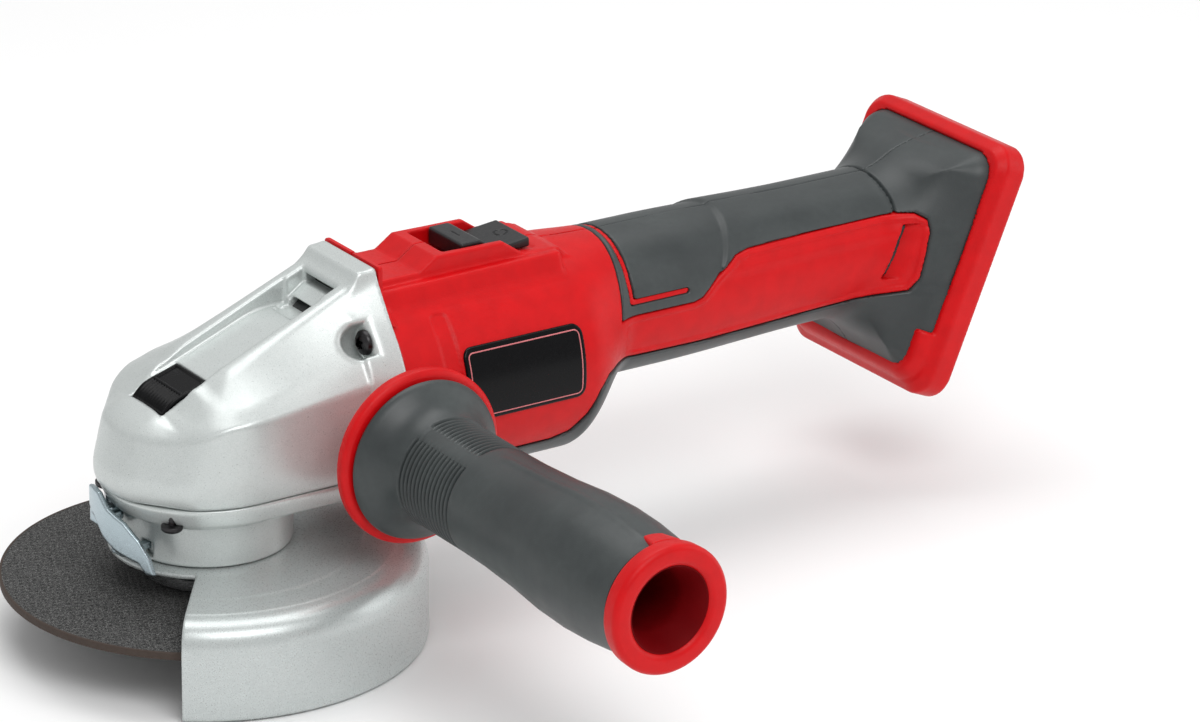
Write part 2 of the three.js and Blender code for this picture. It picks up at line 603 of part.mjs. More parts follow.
function footPieces() {
  const { halfU, halfV, rim, bevel } = FOOT;
  const bumper = loft([
    footRing(halfU - bevel, halfV - bevel, 6, -rim - bevel),
    footRing(halfU, halfV, 6, -rim),
    footRing(halfU, halfV, 6, -1.5),
    footRing(halfU - 1.5, halfV - 1.5, 6, 0),
  ]);
  const inside = loft([
    footRing(38.2 - SKIN + 0.15, 32.2 - SKIN + 0.15, 5, -rim - bevel - 0.2),
    footRing(38.2 - SKIN + 0.15, 32.2 - SKIN + 0.15, 6, 1),
  ]);
  piece("foot_bumper", cut(bumper, inside), ...RED);
  const plate = loft([
    footRing(32.6, 26.6, 6, -14.8), footRing(32.6, 26.6, 6, -11.5),
  ]);
  const bar = (v) => loft([-12.7, -3].map((w) => [[-24, v - 2], [-24, v + 2], [24, v + 2], [24, v - 2]]
    .map(([u, y]) => footPoint(u, y, w))));
  const lip = (v) => loft([-6, -3].map((w) => [[-24, v - 2.6], [-24, v + 2.6], [24, v + 2.6],
    [24, v - 2.6]].map(([u, y]) => footPoint(u, y, w))));
  const core = loft([-12.7, -4].map((w) => [[-16, -13], [-16, 13], [14, 13], [14, -13]]
    .map(([u, y]) => footPoint(u, y, w))));
  const bladeSlots = CONTACT_SIDES.map((v) => loft([-14, -3].map((w) => [
    [-12, v - 0.8], [-12, v + 0.8], [16, v + 0.8], [16, v - 0.8],
  ].map(([u, y]) => footPoint(u, y, w)))));
  const latch = loft([-17, -12].map((w) => [[24, -9], [24, 9], [30, 9], [30, -9]]
    .map(([u, y]) => footPoint(u, y, w))));
  piece("battery_mount", cut(
    add(plate, bar(-24), bar(24), lip(-21.8), lip(21.8), core), ...bladeSlots, latch,
  ), ...BLACK);
  CONTACT_SIDES.forEach((v, i) => {
    const blade = loft([-13.6, -5.5].map((w) => [[-11, v - 0.4], [-11, v + 0.4], [13, v + 0.4],
      [13, v - 0.4]].map(([u, y]) => footPoint(u, y, w))));
    piece(`battery_contact_${i + 1}`, blade, ...COPPER);
  });
}

const CONTACT_SIDES = [-9.5, -3.2, 3.2, 9.5];

// ---------------------------------------------------------------- switch and electronics

function switchPieces() {
  const { front, rear, half } = SWITCH;
  const profile = [
    [front, 93.8], [front - 0.4, 99.3], [front + 7, 99.3], [front + 11.5, 95.6],
    [front + 14.5, 95.6], [rear, 96.8], [rear - 0.6, 93.8],
  ];
  piece("switch_slider", add(
    prism("y", profile, -half, half),
    block([84, -4.5, 91.4], [92, 4.5, 94]),
  ), ...SOFT);
  piece("switch_rod", add(
    block([84.5, -3, 89.6], [124, 3, 91]),
    block([121.5, -3, 82.4], [124, 3, 91]),
    block([121.5, -3, 82.4], [139, 3, 84]),
  ), ...BLACK);
  piece("power_switch", block([141, -7, 71], [160, 7, 83.6]), ...BLACK);
  piece("motor_controller", block([164, -14, 60], [198, 14, 71]), 0x2c5a3c, 0.6, 0.1);
}

// ---------------------------------------------------------------- lock, handle, small parts

function lockPieces() {
  piece("lock_button", prism("y", [
    [-20.2, 64.3], [-20.2, 66.2], [-17, 69.9], [-14, 71.9], [-4.6, 74.6], [-4.6, 70.5],
    [-14, 67.8], [-17, 64.3],
  ], -9, 9), ...BLACK);
  piece("lock_pin", turned("z", [
    [0, 54.2], [1.6, 54.2], [LOCK.pin, 54.8], [LOCK.pin, 67.8], [0, 67.8],
  ], [LOCK.x, 0, 0], FEW), ...STEEL);
  piece("lock_spring", lockSpring(), ...STEEL);
}

// The lock's return spring: a few turns of wire round the pin, from the bridge to the button.
function lockSpring() {
  const turns = 3.5;
  const [low, high] = [60.6, 66.8];
  const points = Array.from({ length: 29 }, (_, i) => {
    const t = i / 28;
    const [x, y] = polar(3.1, t * turns * 360);
    return new THREE.Vector3(LOCK.x + x, y, mix(low, high, t));
  });
  const wire = new THREE.Shape(arc(0.4, 0, 288, 4).map(([u, v]) => new THREE.Vector2(u, v)));
  const path = new THREE.CatmullRomCurve3(points);
  return solidOf(new THREE.ExtrudeGeometry(wire, { steps: 36, extrudePath: path }));
}

function sideHandle() {
  const { x, z, flange, length, stud } = HANDLE;
  const centre = [x, flange, z];
  const core = turned("y", [
    [stud + GAP, 7.6], [9, 7.6], [10.5, 0.4], [26.6, 0.4], [27.1, -0.4], [27.1, -3.4], [25.4, -5],
    [10.5, -5], [10.5, -124.5], [17, -125.5], [19.4, -127.5], [19.9, -130.5], [19, -length],
    [14.6, -length], [12.8, -131], [8.8, -126], [8, -100], [7, -60], [stud + GAP, -60],
    [stud + GAP, 7.6],
  ], centre, SIDES);
  piece("handle_core", core, ...RED);
  piece("handle_grip", turned("y", [
    [11, -5.3], [24.9, -5.3], [24.6, -7], [21.5, -10], [18, -15.5], [16.9, -22], [17.4, -50],
    [19, -80], [19.6, -98], [19, -112], [17.8, -122], [16.6, -125.1], [11, -124.2], [11, -5.3],
  ], centre, SIDES + 2), ...SOFT);
  piece("handle_stud", turned("y", [
    [0, -58], [stud, -58], [stud, 7.9], [stud, 20], [0, 20],
  ], centre, 20), ...STEEL);
}

function headScrew(place) {
  return turned("x", [
    [0, 40.4], [1.7, 40.4], [1.9, 39.2], [3.2, 39.4], [3.9, 40.8], [3.9, 42.1], [2, 42.1],
    [2, 61.5], [0, 61.5],
  ], place, 12);
}

function coverScrew(place) {
  return turned("z", [
    [0, 34], [1.4, 34], [1.6, 32.6], [2.8, 32.7], [3.3, 33.6], [3.3, 34.7], [1.9, 34.7],
    [1.9, 48], [0, 48],
  ], place, 12);
}

function fasteners() {
  BOLT_PLACES.forEach((place, i) => piece(`head_screw_${i + 1}`, headScrew(place), ...DARK_STEEL));
  COVER_PLACES.forEach((place, i) => {
    piece(`cover_screw_${i + 1}`, coverScrew(place), ...DARK_STEEL);
  });
  SCREW_PLACES.forEach((place, i) => {
    piece(`housing_screw_${i + 1}`, housingScrew(place), ...DARK_STEEL);
  });
  piece("lever_pin", turned("z", [
    [0, 28.3], [3, 28.3], [3, 29.3], [1.55, 29.3], [1.55, 38.6], [0, 38.6],
  ], [...polar(LEVER.radius, LEVER.angle), 0], FEW), ...STEEL);
}

// The blank name plate on the left side of the motor housing, bent round it.
function namePlate() {
  const outline = [[70.8, 54.5], [70.8, 73], [72.6, 74.9], [111.5, 74.3], [113.4, 72.4],
    [113.2, 54], [111.4, 52.2], [72.6, 52.6]];
  const sheet = tube("x", BODY.radius + 0.3, BODY.radius + 1, 60, 120, MOTOR_CENTRE, 56);
  return sheet.intersect(prism("y", outline, -45, -10));
}

piece("gear_head", gearHead(), ...CAST);
piece("bearing_cover", bearingCover(), ...CAST);
piece("guard", guard(), ...SHEET);
piece("guard_lever", guardLever(), ...SHEET);
driveTrain();
motor();
housing();
softGrip();
footPieces();
switchPieces();
lockPieces();
sideHandle();
fasteners();
piece("name_plate", namePlate(), ...BLACK);

export default group;
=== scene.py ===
# A cordless angle grinder in a plain studio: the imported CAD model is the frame, and finished
# surfaces are built around it. Shapes are worked out in millimetres in the model's own frame.
import json
import math

import bpy
import bmesh
import numpy as np
from mathutils import Matrix, Vector


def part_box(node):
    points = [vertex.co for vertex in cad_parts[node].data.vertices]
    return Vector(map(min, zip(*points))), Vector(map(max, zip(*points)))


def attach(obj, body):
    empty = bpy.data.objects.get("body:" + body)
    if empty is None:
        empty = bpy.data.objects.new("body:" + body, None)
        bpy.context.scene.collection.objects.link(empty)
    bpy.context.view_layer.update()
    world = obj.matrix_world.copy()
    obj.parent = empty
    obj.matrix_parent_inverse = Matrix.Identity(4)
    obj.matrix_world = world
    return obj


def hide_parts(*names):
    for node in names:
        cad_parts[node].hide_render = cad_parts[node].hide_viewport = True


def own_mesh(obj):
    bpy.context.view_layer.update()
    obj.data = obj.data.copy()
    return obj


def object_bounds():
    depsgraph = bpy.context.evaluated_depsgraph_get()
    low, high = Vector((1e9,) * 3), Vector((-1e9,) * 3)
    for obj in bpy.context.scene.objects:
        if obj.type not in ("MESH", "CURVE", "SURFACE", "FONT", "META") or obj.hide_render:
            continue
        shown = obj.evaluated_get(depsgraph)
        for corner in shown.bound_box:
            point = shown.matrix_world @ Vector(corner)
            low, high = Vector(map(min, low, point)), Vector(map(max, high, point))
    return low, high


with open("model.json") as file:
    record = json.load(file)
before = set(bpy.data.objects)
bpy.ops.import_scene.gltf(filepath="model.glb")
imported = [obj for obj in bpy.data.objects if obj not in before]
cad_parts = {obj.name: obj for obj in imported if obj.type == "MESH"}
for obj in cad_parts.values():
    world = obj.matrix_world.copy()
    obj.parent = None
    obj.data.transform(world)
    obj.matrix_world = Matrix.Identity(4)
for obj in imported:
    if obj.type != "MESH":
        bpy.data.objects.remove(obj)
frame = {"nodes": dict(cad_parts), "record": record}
CAD_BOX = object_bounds()

MM = 0.001
MOTOR_Z = 58.6  # height of the motor axis over the spindle's end
JOINT_X = 50.0  # plane between gear head and motor housing
TILT = math.radians(22.4)  # lean of the battery foot
FOOT_X, FOOT_Z = 266.75, 59.75  # middle of the foot's rear face
SEAM = 0.14  # half the gap between the two clamshell halves
SCREW_REACH = 31.2  # gear head screws' distance from the motor axis
PIVOT_X = 30 * math.cos(math.radians(165))  # the guard lever's pivot
PIVOT_Y = 30 * math.sin(math.radians(165))
GUARD_RADIUS, GUARD_TOP, GUARD_LOW = 66.3, 20.1, -10  # outside of the guard's hood
SHEET_THICKNESS = 1.6
HANDLE_X, HANDLE_Z, HANDLE_Y = 42.0, 54.6, -48.0  # axis, and the flange's face towards the head
BEVEL = 0.7071  # turns a sum of two offsets into a distance across a 45 degree bevel


# ------------------------------------------------------------------ fields and skins
# A field gives the signed distance in millimetres to a shape, negative inside.

def either(a, b, blend=0.0):
    """The union of two fields, with a fillet of about the blend size."""
    if blend <= 0:
        return np.minimum(a, b)
    h = np.maximum(blend - np.abs(a - b), 0) / blend
    return np.minimum(a, b) - h * h * blend / 4


def both(a, b, blend=0.0):
    """The overlap of two fields, with a rounded edge of about the blend size."""
    return -either(-a, -b, blend)


def without(a, b, blend=0.0):
    return both(a, -b, blend)


def slab(u, low, high):
    return np.maximum(low - u, u - high)


def boxed(x, y, z, low, high, radius=0.0):
    """A box with rounded edges."""
    parts = []
    for u, a, b in zip((x, y, z), low, high):
        parts.append(np.abs(u - (a + b) / 2) - (b - a) / 2 + radius)
    outside = sum(np.maximum(p, 0) ** 2 for p in parts)
    inside = np.minimum(np.maximum(np.maximum(parts[0], parts[1]), parts[2]), 0)
    return np.sqrt(outside) + inside - radius


def round_bar(u, v, radius):
    return np.sqrt(u * u + v * v) - radius


def outline(u, v, points):
    """Distance to a closed polygon in the plane of u and v."""
    pts = [np.array(p, float) for p in points]
    best = None
    inside = None
    for a, b in zip(pts, pts[1:] + pts[:1]):
        e = b - a
        t = np.clip(((u - a[0]) * e[0] + (v - a[1]) * e[1]) / (e @ e), 0, 1)
        d = (u - a[0] - e[0] * t) ** 2 + (v - a[1] - e[1] * t) ** 2
        best = d if best is None else np.minimum(best, d)
        spans = (a[1] <= v) != (b[1] <= v)
        across, along = (u - a[0]) * e[1], (v - a[1]) * e[0]
        crosses = spans & (across < along if e[1] > 0 else across > along)
        inside = crosses if inside is None else inside ^ crosses
    return np.where(inside, -1, 1) * np.sqrt(best)


def smooth(t):
    u = np.clip(t, 0, 1)
    return u * u * (3 - 2 * u)


def mix(a, b, t):
    return a + (b - a) * t


CORNERS = [(i, j, k) for i in (0, 1) for j in (0, 1) for k in (0, 1)]


def net(field, low, high, step):
    """Vertices and quads of the field's zero surface on a grid, by surface nets."""
    axes = [np.arange(a, b + step, step, dtype=np.float32) for a, b in zip(low, high)]
    grid = np.meshgrid(*axes, indexing="ij", sparse=True)
    values = np.array(np.broadcast_to(field(*grid), [len(a) for a in axes]), dtype=np.float32)
    inside = values < 0
    n = [s - 1 for s in values.shape]
    counted = sum(inside[i:n[0] + i, j:n[1] + j, k:n[2] + k].astype(np.int8)
                  for i, j, k in CORNERS)
    active = (counted > 0) & (counted < 8)
    cells = np.argwhere(active)
    number = np.full(active.shape, -1, dtype=np.int64)
    number[active] = np.arange(len(cells))
    place = np.zeros((len(cells), 3))
    count = np.zeros((len(cells), 1))
    for a in CORNERS:
        for axis in range(3):
            if a[axis]:
                continue
            b = tuple(v + (i == axis) for i, v in enumerate(a))
            fa = values[tuple((cells + a).T)].astype(float)
            fb = values[tuple((cells + b).T)].astype(float)
            cross = ((fa < 0) != (fb < 0))[:, None]
            t = fa / np.where(fa == fb, 1, fa - fb)
            point = cells + np.array(a) + t[:, None] * (np.array(b) - a)
            place += np.where(cross, point, 0)
            count += cross
    verts = np.array([a[0] for a in axes]) + step * place / np.maximum(count, 1)
    quads = []
    for axis in range(3):
        u, v = (axis + 1) % 3, (axis + 2) % 3
        span = [slice(1, -1)] * 3
        span[axis] = slice(0, -1)
        ahead = list(span)
        ahead[axis] = slice(1, None)
        here, there = inside[tuple(span)], inside[tuple(ahead)]
        where = np.argwhere(here != there)
        where[:, u] += 1
        where[:, v] += 1
        leaving = inside[tuple(where.T)]
        ring = []
        for du, dv in ((-1, -1), (0, -1), (0, 0), (-1, 0)):
            cell = where.copy()
            cell[:, u] += du
            cell[:, v] += dv
            ring.append(number[tuple(cell.T)])
        ring = np.stack(ring, 1)
        ring[~leaving] = ring[~leaving][:, ::-1]
        quads.append(ring)
    return verts, np.concatenate(quads)


def settle(field, verts, step, rounds=3):
    """Moves each vertex onto the field's zero surface along its slope."""
    verts = verts.copy()
    h = 0.02
    for _ in range(rounds):
        x, y, z = verts.T
        f = field(x, y, z)
        g = np.stack([field(x + h, y, z) - field(x - h, y, z),
                      field(x, y + h, z) - field(x, y - h, z),
                      field(x, y, z + h) - field(x, y, z - h)], 1) / (2 * h)
        size = np.maximum((g * g).sum(1), 0.05)
        move = -(f / size)[:, None] * g
        long = np.maximum(np.linalg.norm(move, axis=1) / (0.45 * step), 1)
        verts += move / long[:, None]
    return verts


def new_piece(name, verts, faces, material):
    """A smooth-shaded object from vertices in millimetres."""
    mesh = bpy.data.meshes.new(name)
    mesh.from_pydata((np.asarray(verts) * MM).tolist(), [], [list(map(int, f)) for f in faces])
    mesh.validate()
    mesh.update()
    mesh.polygons.foreach_set("use_smooth", [True] * len(mesh.polygons))
    mesh.materials.append(material)
    piece = bpy.data.objects.new(name, mesh)
    bpy.context.scene.collection.objects.link(piece)
    return piece


def skin(name, field, low, high, step, material):
    """A piece whose surface is where the field is zero."""
    verts, quads = net(field, low, high, step)
    verts = settle(field, verts, step)
    return new_piece(name, verts, quads, material)


# ------------------------------------------------------------------ turned and pressed pieces

def ring_faces(rings, count, closed=True):
    """Quads between neighbouring rings of points; an open run of rings gets two end caps."""
    faces = []
    for i in range(rings if closed else rings - 1):
        j = (i + 1) % rings
        for k in range(count):
            m = (k + 1) % count
            faces.append((i * count + k, j * count + k, j * count + m, i * count + m))
    if not closed:
        faces.append(tuple(range(count)))
        faces.append(tuple(reversed(range((rings - 1) * count, rings * count))))
    return faces


def tidy(piece, angle=32.0):
    """Welds poles, points the faces outwards, and keeps edges sharper than the angle."""
    mesh = piece.data
    bm = bmesh.new()
    bm.from_mesh(mesh)
    bmesh.ops.remove_doubles(bm, verts=bm.verts, dist=1e-6)
    bmesh.ops.dissolve_degenerate(bm, edges=bm.edges, dist=1e-7)
    bmesh.ops.recalc_face_normals(bm, faces=bm.faces)
    limit = math.radians(angle)
    for edge in bm.edges:
        edge.smooth = len(edge.link_faces) == 2 and edge.calc_face_angle(0) < limit
    bm.to_mesh(mesh)
    bm.free()
    return piece


def rounded_profile(points, radius=0.4, steps=3):
    """A closed profile with each corner replaced by a small arc."""
    pts = [np.array(p[:2], float) for p in points]
    out = []
    for i, p in enumerate(pts):
        r = points[i][2] if len(points[i]) > 2 else radius
        a, b = pts[i - 1] - p, pts[(i + 1) % len(pts)] - p
        la, lb = np.linalg.norm(a), np.linalg.norm(b)
        if r <= 0 or la < 1e-6 or lb < 1e-6:
            out.append(tuple(p))
            continue
        reach = min(r, la * 0.45, lb * 0.45)
        start, end = p + a / la * reach, p + b / lb * reach
        for k in range(steps + 1):
            t = k / steps
            out.append(tuple((1 - t) ** 2 * start + 2 * t * (1 - t) * p + t * t * end))
    return out


def turned(name, profile, material, axis="z", centre=(0, 0, 0), sides=96):
    """A closed profile of (radius, height) points turned about an axis."""
    shape = rounded_profile(profile)
    verts = []
    for a in np.radians(360 * np.arange(sides) / sides):
        for r, h in shape:
            u, v = r * math.cos(a), r * math.sin(a)
            verts.append({"y": (v, h, u), "z": (u, v, h)}[axis])
    verts = np.array(verts) + np.array(centre)
    return tidy(new_piece(name, verts, ring_faces(sides, len(shape)), material))


# ------------------------------------------------------------------ the shapes, as fields

def plan(x, y, front, half):
    """Plan outline of the gear head: a half-ellipse nose running back into straight sides."""
    q = np.sqrt(np.minimum(x, 0) ** 2 / front ** 2 + y * y / half ** 2)
    slope = np.sqrt((np.minimum(x, 0) / front ** 2) ** 2 + (y / half ** 2) ** 2)
    nose = q * (q - 1) / np.maximum(slope, 1e-3)
    return np.where(x < 0, nose, np.abs(y) - half)


def ridge_line(x):
    return 71.7 + 0.424 * (x + 15.5)


def channel_line(x):
    return either(73.4 + 0.39 * (x + 4.5), 84.3, 2.0)


def head_form(x, y, z):
    """The gear head's outer form without its channel, screw recesses and slots."""
    side = np.abs(y)
    front = either(33.5 + (z - 41.5) * 0.44, 35.5 - 0.29 * (z - 46), 3.0)
    half = either(31.6 + (z - 41.5) * 0.27, 32.8 - 0.03 * (z - 46), 2.0)
    wall = plan(x, y, front, half)
    facet = -0.792 * x + 0.609 * side - np.sqrt((0.792 * front) ** 2 + (0.609 * half) ** 2) + 1.4
    wall = both(wall, facet, 0.8)
    # two shoulder lines run round the head, both dipping at the nose
    shoulder = both(either(71.2 + 0.165 * x, 63.4 + 0.47 * (x + 21.5), 2.0), 63.3, 1.0)
    low_shoulder = both(either(68.1 + 0.09 * x, 62.4 + 0.42 * (x + 23), 2.0), 62.2, 1.0)
    reach = 1.5 + 2.5 * smooth((x + 22) / 16)
    ridge = ridge_line(x)
    slope = mix(0.8, (ridge - shoulder) / 13.3, smooth((x + 20) / 14))
    roof = (z - shoulder - (-wall - reach) * slope) / np.sqrt(1.1 + slope ** 2)
    steep = (shoulder - low_shoulder) / (reach - 0.5)
    ledge = (z - low_shoulder - (-wall - 0.5) * steep) / np.sqrt(1.1 + steep ** 2)
    top = both(both(roof, ledge, 0.4), (z - ridge) * 0.92, 1.3)
    form = both(both(wall, top, 0.9), 41.5 - z, 0.8)
    hump_side = both(side - 14.6, slab(z, 74, 99.6), 1.2)
    hump_front = (40.6 - x + (z - 93) * 0.5) * 0.9
    hump = both(both(hump_side, hump_front, 1.2), 30 - x)
    form = either(form, hump, 2.2)
    flange = both(round_bar(y, z - MOTOR_Z, 34.7), 38 - x, 1.2)
    form = either(form, flange, 1.5)
    return both(form, x - JOINT_X, 0.5)


SCREW_ANGLES = (45, 135, 225, 315)


def head_screw_places():
    """The y and z of the four gear head screws."""
    return [(math.cos(math.radians(a)) * SCREW_REACH,
             MOTOR_Z + math.sin(math.radians(a)) * SCREW_REACH) for a in SCREW_ANGLES]


def screw_recess(x, y, z, radius):
    """Scooped recesses for the four gear head screws, each with a round front end."""
    ahead = np.maximum(40 - x, 0) * 0.85
    best = None
    for sy, sz in head_screw_places():
        d = np.sqrt(ahead ** 2 + (y - sy) ** 2 + (z - sz) ** 2) - radius
        best = d if best is None else np.minimum(best, d)
    return both(best, x - 41.9)


def head_field(x, y, z):
    """The gear head with its channel, slots, bosses and hollow inside."""
    form = head_form(x, y, z)
    side = np.abs(y)
    # the channel between the ridges, up to the step in front of the hump
    floor = (channel_line(x) - z) * 0.93
    channel = both(both(side - 10.4, floor, 1.2), x - 33.4, 0.8)
    upper = both(both(side - 9.6, both(86.2 - z + (x - 34) * 0.72, x - 39.8), 0.6), 30 - x)
    form = without(form, either(channel, upper, 0.5), 0.9)
    for slot_x, low, high, half in ((34.0, 83.7, 86.5, 8.2), (41.5, 90.1, 93.0, 9.0)):
        slot = boxed(x, y, z, (slot_x - 6, -half, low), (slot_x + 4, half, high), 0.4)
        form = without(form, slot, 0.3)
    form = without(form, screw_recess(x, y, z, 5.3), 3.0)
    boss = both(round_bar(x - HANDLE_X, z - HANDLE_Z, 7.8), side - 40, 0.8)
    form = either(form, both(boss, 20 - side), 1.2)
    form = without(form, both(round_bar(x - HANDLE_X, z - HANDLE_Z, 5.3), 24 - side), 0.4)
    well = both(boxed(x, y, z, (-20.6, -9.4, 59), (-4.3, 9.4, 90), 0.5), 60 - z)
    form = without(form, well, 0.3)
    form = without(form, round_bar(x + 10.5, y, 2.4))
    # hollow inside
    inside = both(head_form(x, y, z) + 3.2, either(side - 27, 60 - z, 2), 1)
    inside = both(inside, z - channel_line(x) + 3.4, 1)
    inside = either(inside, both(round_bar(y, z - MOTOR_Z, 27.4), 37 - x))
    inside = without(inside, screw_recess(x - 2.5, y, z, 8.8))
    inside = without(inside, boxed(x, y, z, (-25, -13, 57.4), (-3.6, 13, 60.2)))
    inside = without(inside, both(round_bar(x, y, 7.3), 60 - z))
    return without(form, both(inside, 40 - z), 0.4)


COVER_SCREWS = [(-23.4, -19.7), (-23.4, 19.7), (22.4, -24.5), (22.4, 24.5)]


def cover_field(x, y, z):
    """The bearing cover under the gear head: plate, stepped neck and bores."""
    front = either(29.9 + (z - 35) * 0.55, 33.2, 1.5)
    half = either(30.1 + (z - 35) * 0.35, 31.4, 1.0)
    plate = both(plan(x, y, front, half), slab(z, 35, 41.15), 0.9)
    plate = both(plate, x - 34 + np.maximum(37 - z, 0), 2.0)
    neck = both(round_bar(x, y, 25.6), slab(z, 20.5, 37), 0.7)
    step = both(round_bar(x, y, 27.6), slab(z, 33.6, 37), 0.5)
    form = either(either(plate, step, 0.6), neck, 0.8)
    form = without(form, both(slab(np.hypot(x, y), 20.3, 23.2), z - 27), 0.3)
    form = without(form, both(round_bar(x, y, 16.3), slab(z, 23.7, 34.3)))
    form = without(form, round_bar(x, y, 10))
    form = without(form, both(round_bar(x, y, 22), 37.5 - z))
    form = without(form, both(round_bar(x, y, 12.3), z - 23.8), 0.3)
    form = without(form, boxed(x, y, z, (-34, -9, 21.5), (-21, -4.5, 26.5), 0.3), 0.3)
    for sx, sy in COVER_SCREWS:
        form = without(form, both(round_bar(x - sx, y - sy, 1.2), slab(z, 30, 36.5)))
    return without(form, both(round_bar(x - PIVOT_X, y - PIVOT_Y, 1.8), z - 39), 0.1)


def body_middle(x):
    t = smooth((x - 117) / 23)
    return mix(MOTOR_Z, 67.7, t)


def body_radius(x):
    t = smooth((x - 117) / 23)
    slim = mix(23.6, 22.2, smooth((x - 156) / 62))
    return mix(33.5, slim, t)


def grip_step(x, z):
    """The rear sleeve of the grip stands a little proud of the front one."""
    return 0.8 * smooth((x - 179 + (89 - z) * 0.6) / 1.5) * smooth((z - 73) / 4)


def foot_axes(x, z):
    """Height up the foot and distance behind its rear face."""
    dx, dz = x - FOOT_X, z - FOOT_Z
    return (dx * math.sin(TILT) + dz * math.cos(TILT),
            dx * math.cos(TILT) - dz * math.sin(TILT))


def foot_outline(u, y, half_u, half_y, corner):
    """A rounded rectangle square to the foot, running through along its depth."""
    return boxed(u, y, 0, (-half_u, -half_y, -99), (half_u, half_y, 99), corner)


def body_form(x, y, z):
    """Motor housing, grip and foot in one form."""
    bar = round_bar(y, z - body_middle(x), body_radius(x) + grip_step(x, z)) * 0.94
    bar = both(bar, slab(x, 40, 256))
    u, w = foot_axes(x, z)
    across = foot_outline(u, y, 38.2, 32.2, 8.5)
    block = both(across, slab(w, -23.0, 4), 3.0)
    block = both(block, (across - w - 11.6) * BEVEL, 3.0)
    form = either(bar, block, 14.0)
    return both(form, w + 0.6)


# side outline of the red that the soft overmould leaves bare
BARE_OUTLINE = [
    (62, -20), (30, -20), (30, 140), (139, 140), (136, 90), (134, 81), (132, 69.4),
    (161, 69.3), (164.5, 70.2), (171.5, 76), (179, 80.4), (184, 81.3), (238, 81.6),
    (247.6, 81.6), (250.6, 79.8), (250.8, 76), (246.6, 61.4), (243.4, 57.6), (230, 55.8),
    (198, 54.8), (166, 54.2), (140, 54.8), (130, 56.6), (124, 56), (120, 52),
    (116.5, 44.5), (112, 38.5), (106, 36.6), (62, 36.6)]


def stripe_line(x, z):
    """Distance to the centre line of the thin red stripe let into the soft collar."""
    path = [(140.5, 140), (138.9, 90), (138, 80), (137.9, 73.7), (158.5, 73.7)]
    best = None
    for a, b in zip(path, path[1:]):
        ex, ez = b[0] - a[0], b[1] - a[1]
        t = np.clip(((x - a[0]) * ex + (z - a[1]) * ez) / (ex * ex + ez * ez), 0, 1)
        d = np.hypot(x - a[0] - ex * t, z - a[1] - ez * t)
        best = d if best is None else np.minimum(best, d)
    return best


def deck_form(x, y, z):
    """The raised deck behind the head, its rails, and the front rim round the hump."""
    side = np.abs(y)
    height = np.interp(x, [50, 66.5, 72.5, 97, 104, 117, 122],
                       [94.6, 94.6, 98.7, 98.4, 93.6, 93, 88])
    deck = both(side - 12.6, (z - height) * 0.8, 0.8)
    skirt = both(side - 17 + (z - 91) * 0.4, (z - 92.6 - (x - 50) * 0.01) * 0.9, 1.0) * 0.9
    form = both(either(deck, both(skirt, x - 116, 2), 1.0), 50.35 - x)
    rim = either(round_bar(y, z - MOTOR_Z, 34.6), both(side - 15.3, z - 100.3, 1.0), 1.5)
    rim = both(both(rim, 50.35 - x), x - 52.2, 0.6)
    return both(both(either(form, rim, 0.6), 84 - z), x - 120.5)


def vent_lean(x, z):
    """Distance behind the middle line of the slanted air inlet."""
    return (x - 242.2 - (z - 69) * 0.5) * 0.9


def vent_shade_sheet_field(x, y, z):
    """A black sheet at the bottom of the left air inlet: painted shade standing in for the dark of its
    opening.
    """
    depth = body_form(x, y, z)
    slit = both(slab(vent_lean(x, z), -3.1, -0.9), slab(z, 62, 78))
    return both(both(slit, slab(depth, -4.4, -2.2)), y)


# x, z and the depth of the seat of each clamshell screw on the right side
HOUSING_SCREWS = [(118.4, 76, 17), (130.5, 62, 14), (150, 61.5, 12), (207, 61, 12), (207, 74, 12)]


def housing_field(x, y, z):
    """The red clamshell, both halves in one: wall, bare panels, stripe, deck, wells and bay."""
    outer = body_form(x, y, z)
    bare = outline(x, z, BARE_OUTLINE)
    wall = both(outer + 2.25, x - 262)
    red = both(outer + 0.45 * smooth((-bare - 1.5) / 0.7) * smooth((x - 134) / 3), bare, 0.7)
    stripe = both(outer + 0.35, stripe_line(x, z) - 0.75, 0.3)
    form = either(either(wall, red), both(stripe, 60 - z), 0.2)
    u, w = foot_axes(x, z)
    form = either(form, both(outer + np.clip(-2.25 * (w + 5.8) / 0.1, 0, 2.25), 248 - x))
    form = either(form, deck_form(x, y, z), 1.2)
    # a shallow upright band just behind the head
    band = both(slab(x, 64.2, 69.8), slab(z, 40, 84), 1.5)
    form = without(form, both(band, -outer - 0.45), 0.5)
    # well for the slide switch
    well = boxed(x, y, z, (76.6, -9.9, 93.2), (110.2, 9.9, 120), 0.6)
    form = without(form, well, 0.5)
    slot = boxed(x, y, z, (77, -6.2, 80), (99.5, 6.2, 100))
    # slanted air inlets in the end of the grip panels
    lean = vent_lean(x, z)
    vent = both(slab(lean, -3.2, 3.4), slab(z, 61.6, 78.6), 1.0)
    vent = both(vent, (-outer - 3.3 + (lean + 3.2) * 0.5) * 0.85)
    form = without(without(form, slot), vent, 0.4)
    for sx, sz, seat in HOUSING_SCREWS:
        form = without(form, both(round_bar(x - sx, z - sz, 3.9), seat - y), 0.5)
    inner = both(body_form(x, y, z) + 4.6, 46 - x)
    inner = either(inner, both(round_bar(y, z - MOTOR_Z, 30.7), slab(x, 46, 118)))
    bay = boxed(u, y, w, (-33, -27, -15), (33, 27, 9), 6)
    form = without(form, both(either(both(inner, x - 262), bay), 45 - x))
    form = both(form, x - 300)
    return both(form, 50.35 - x, 0.4)


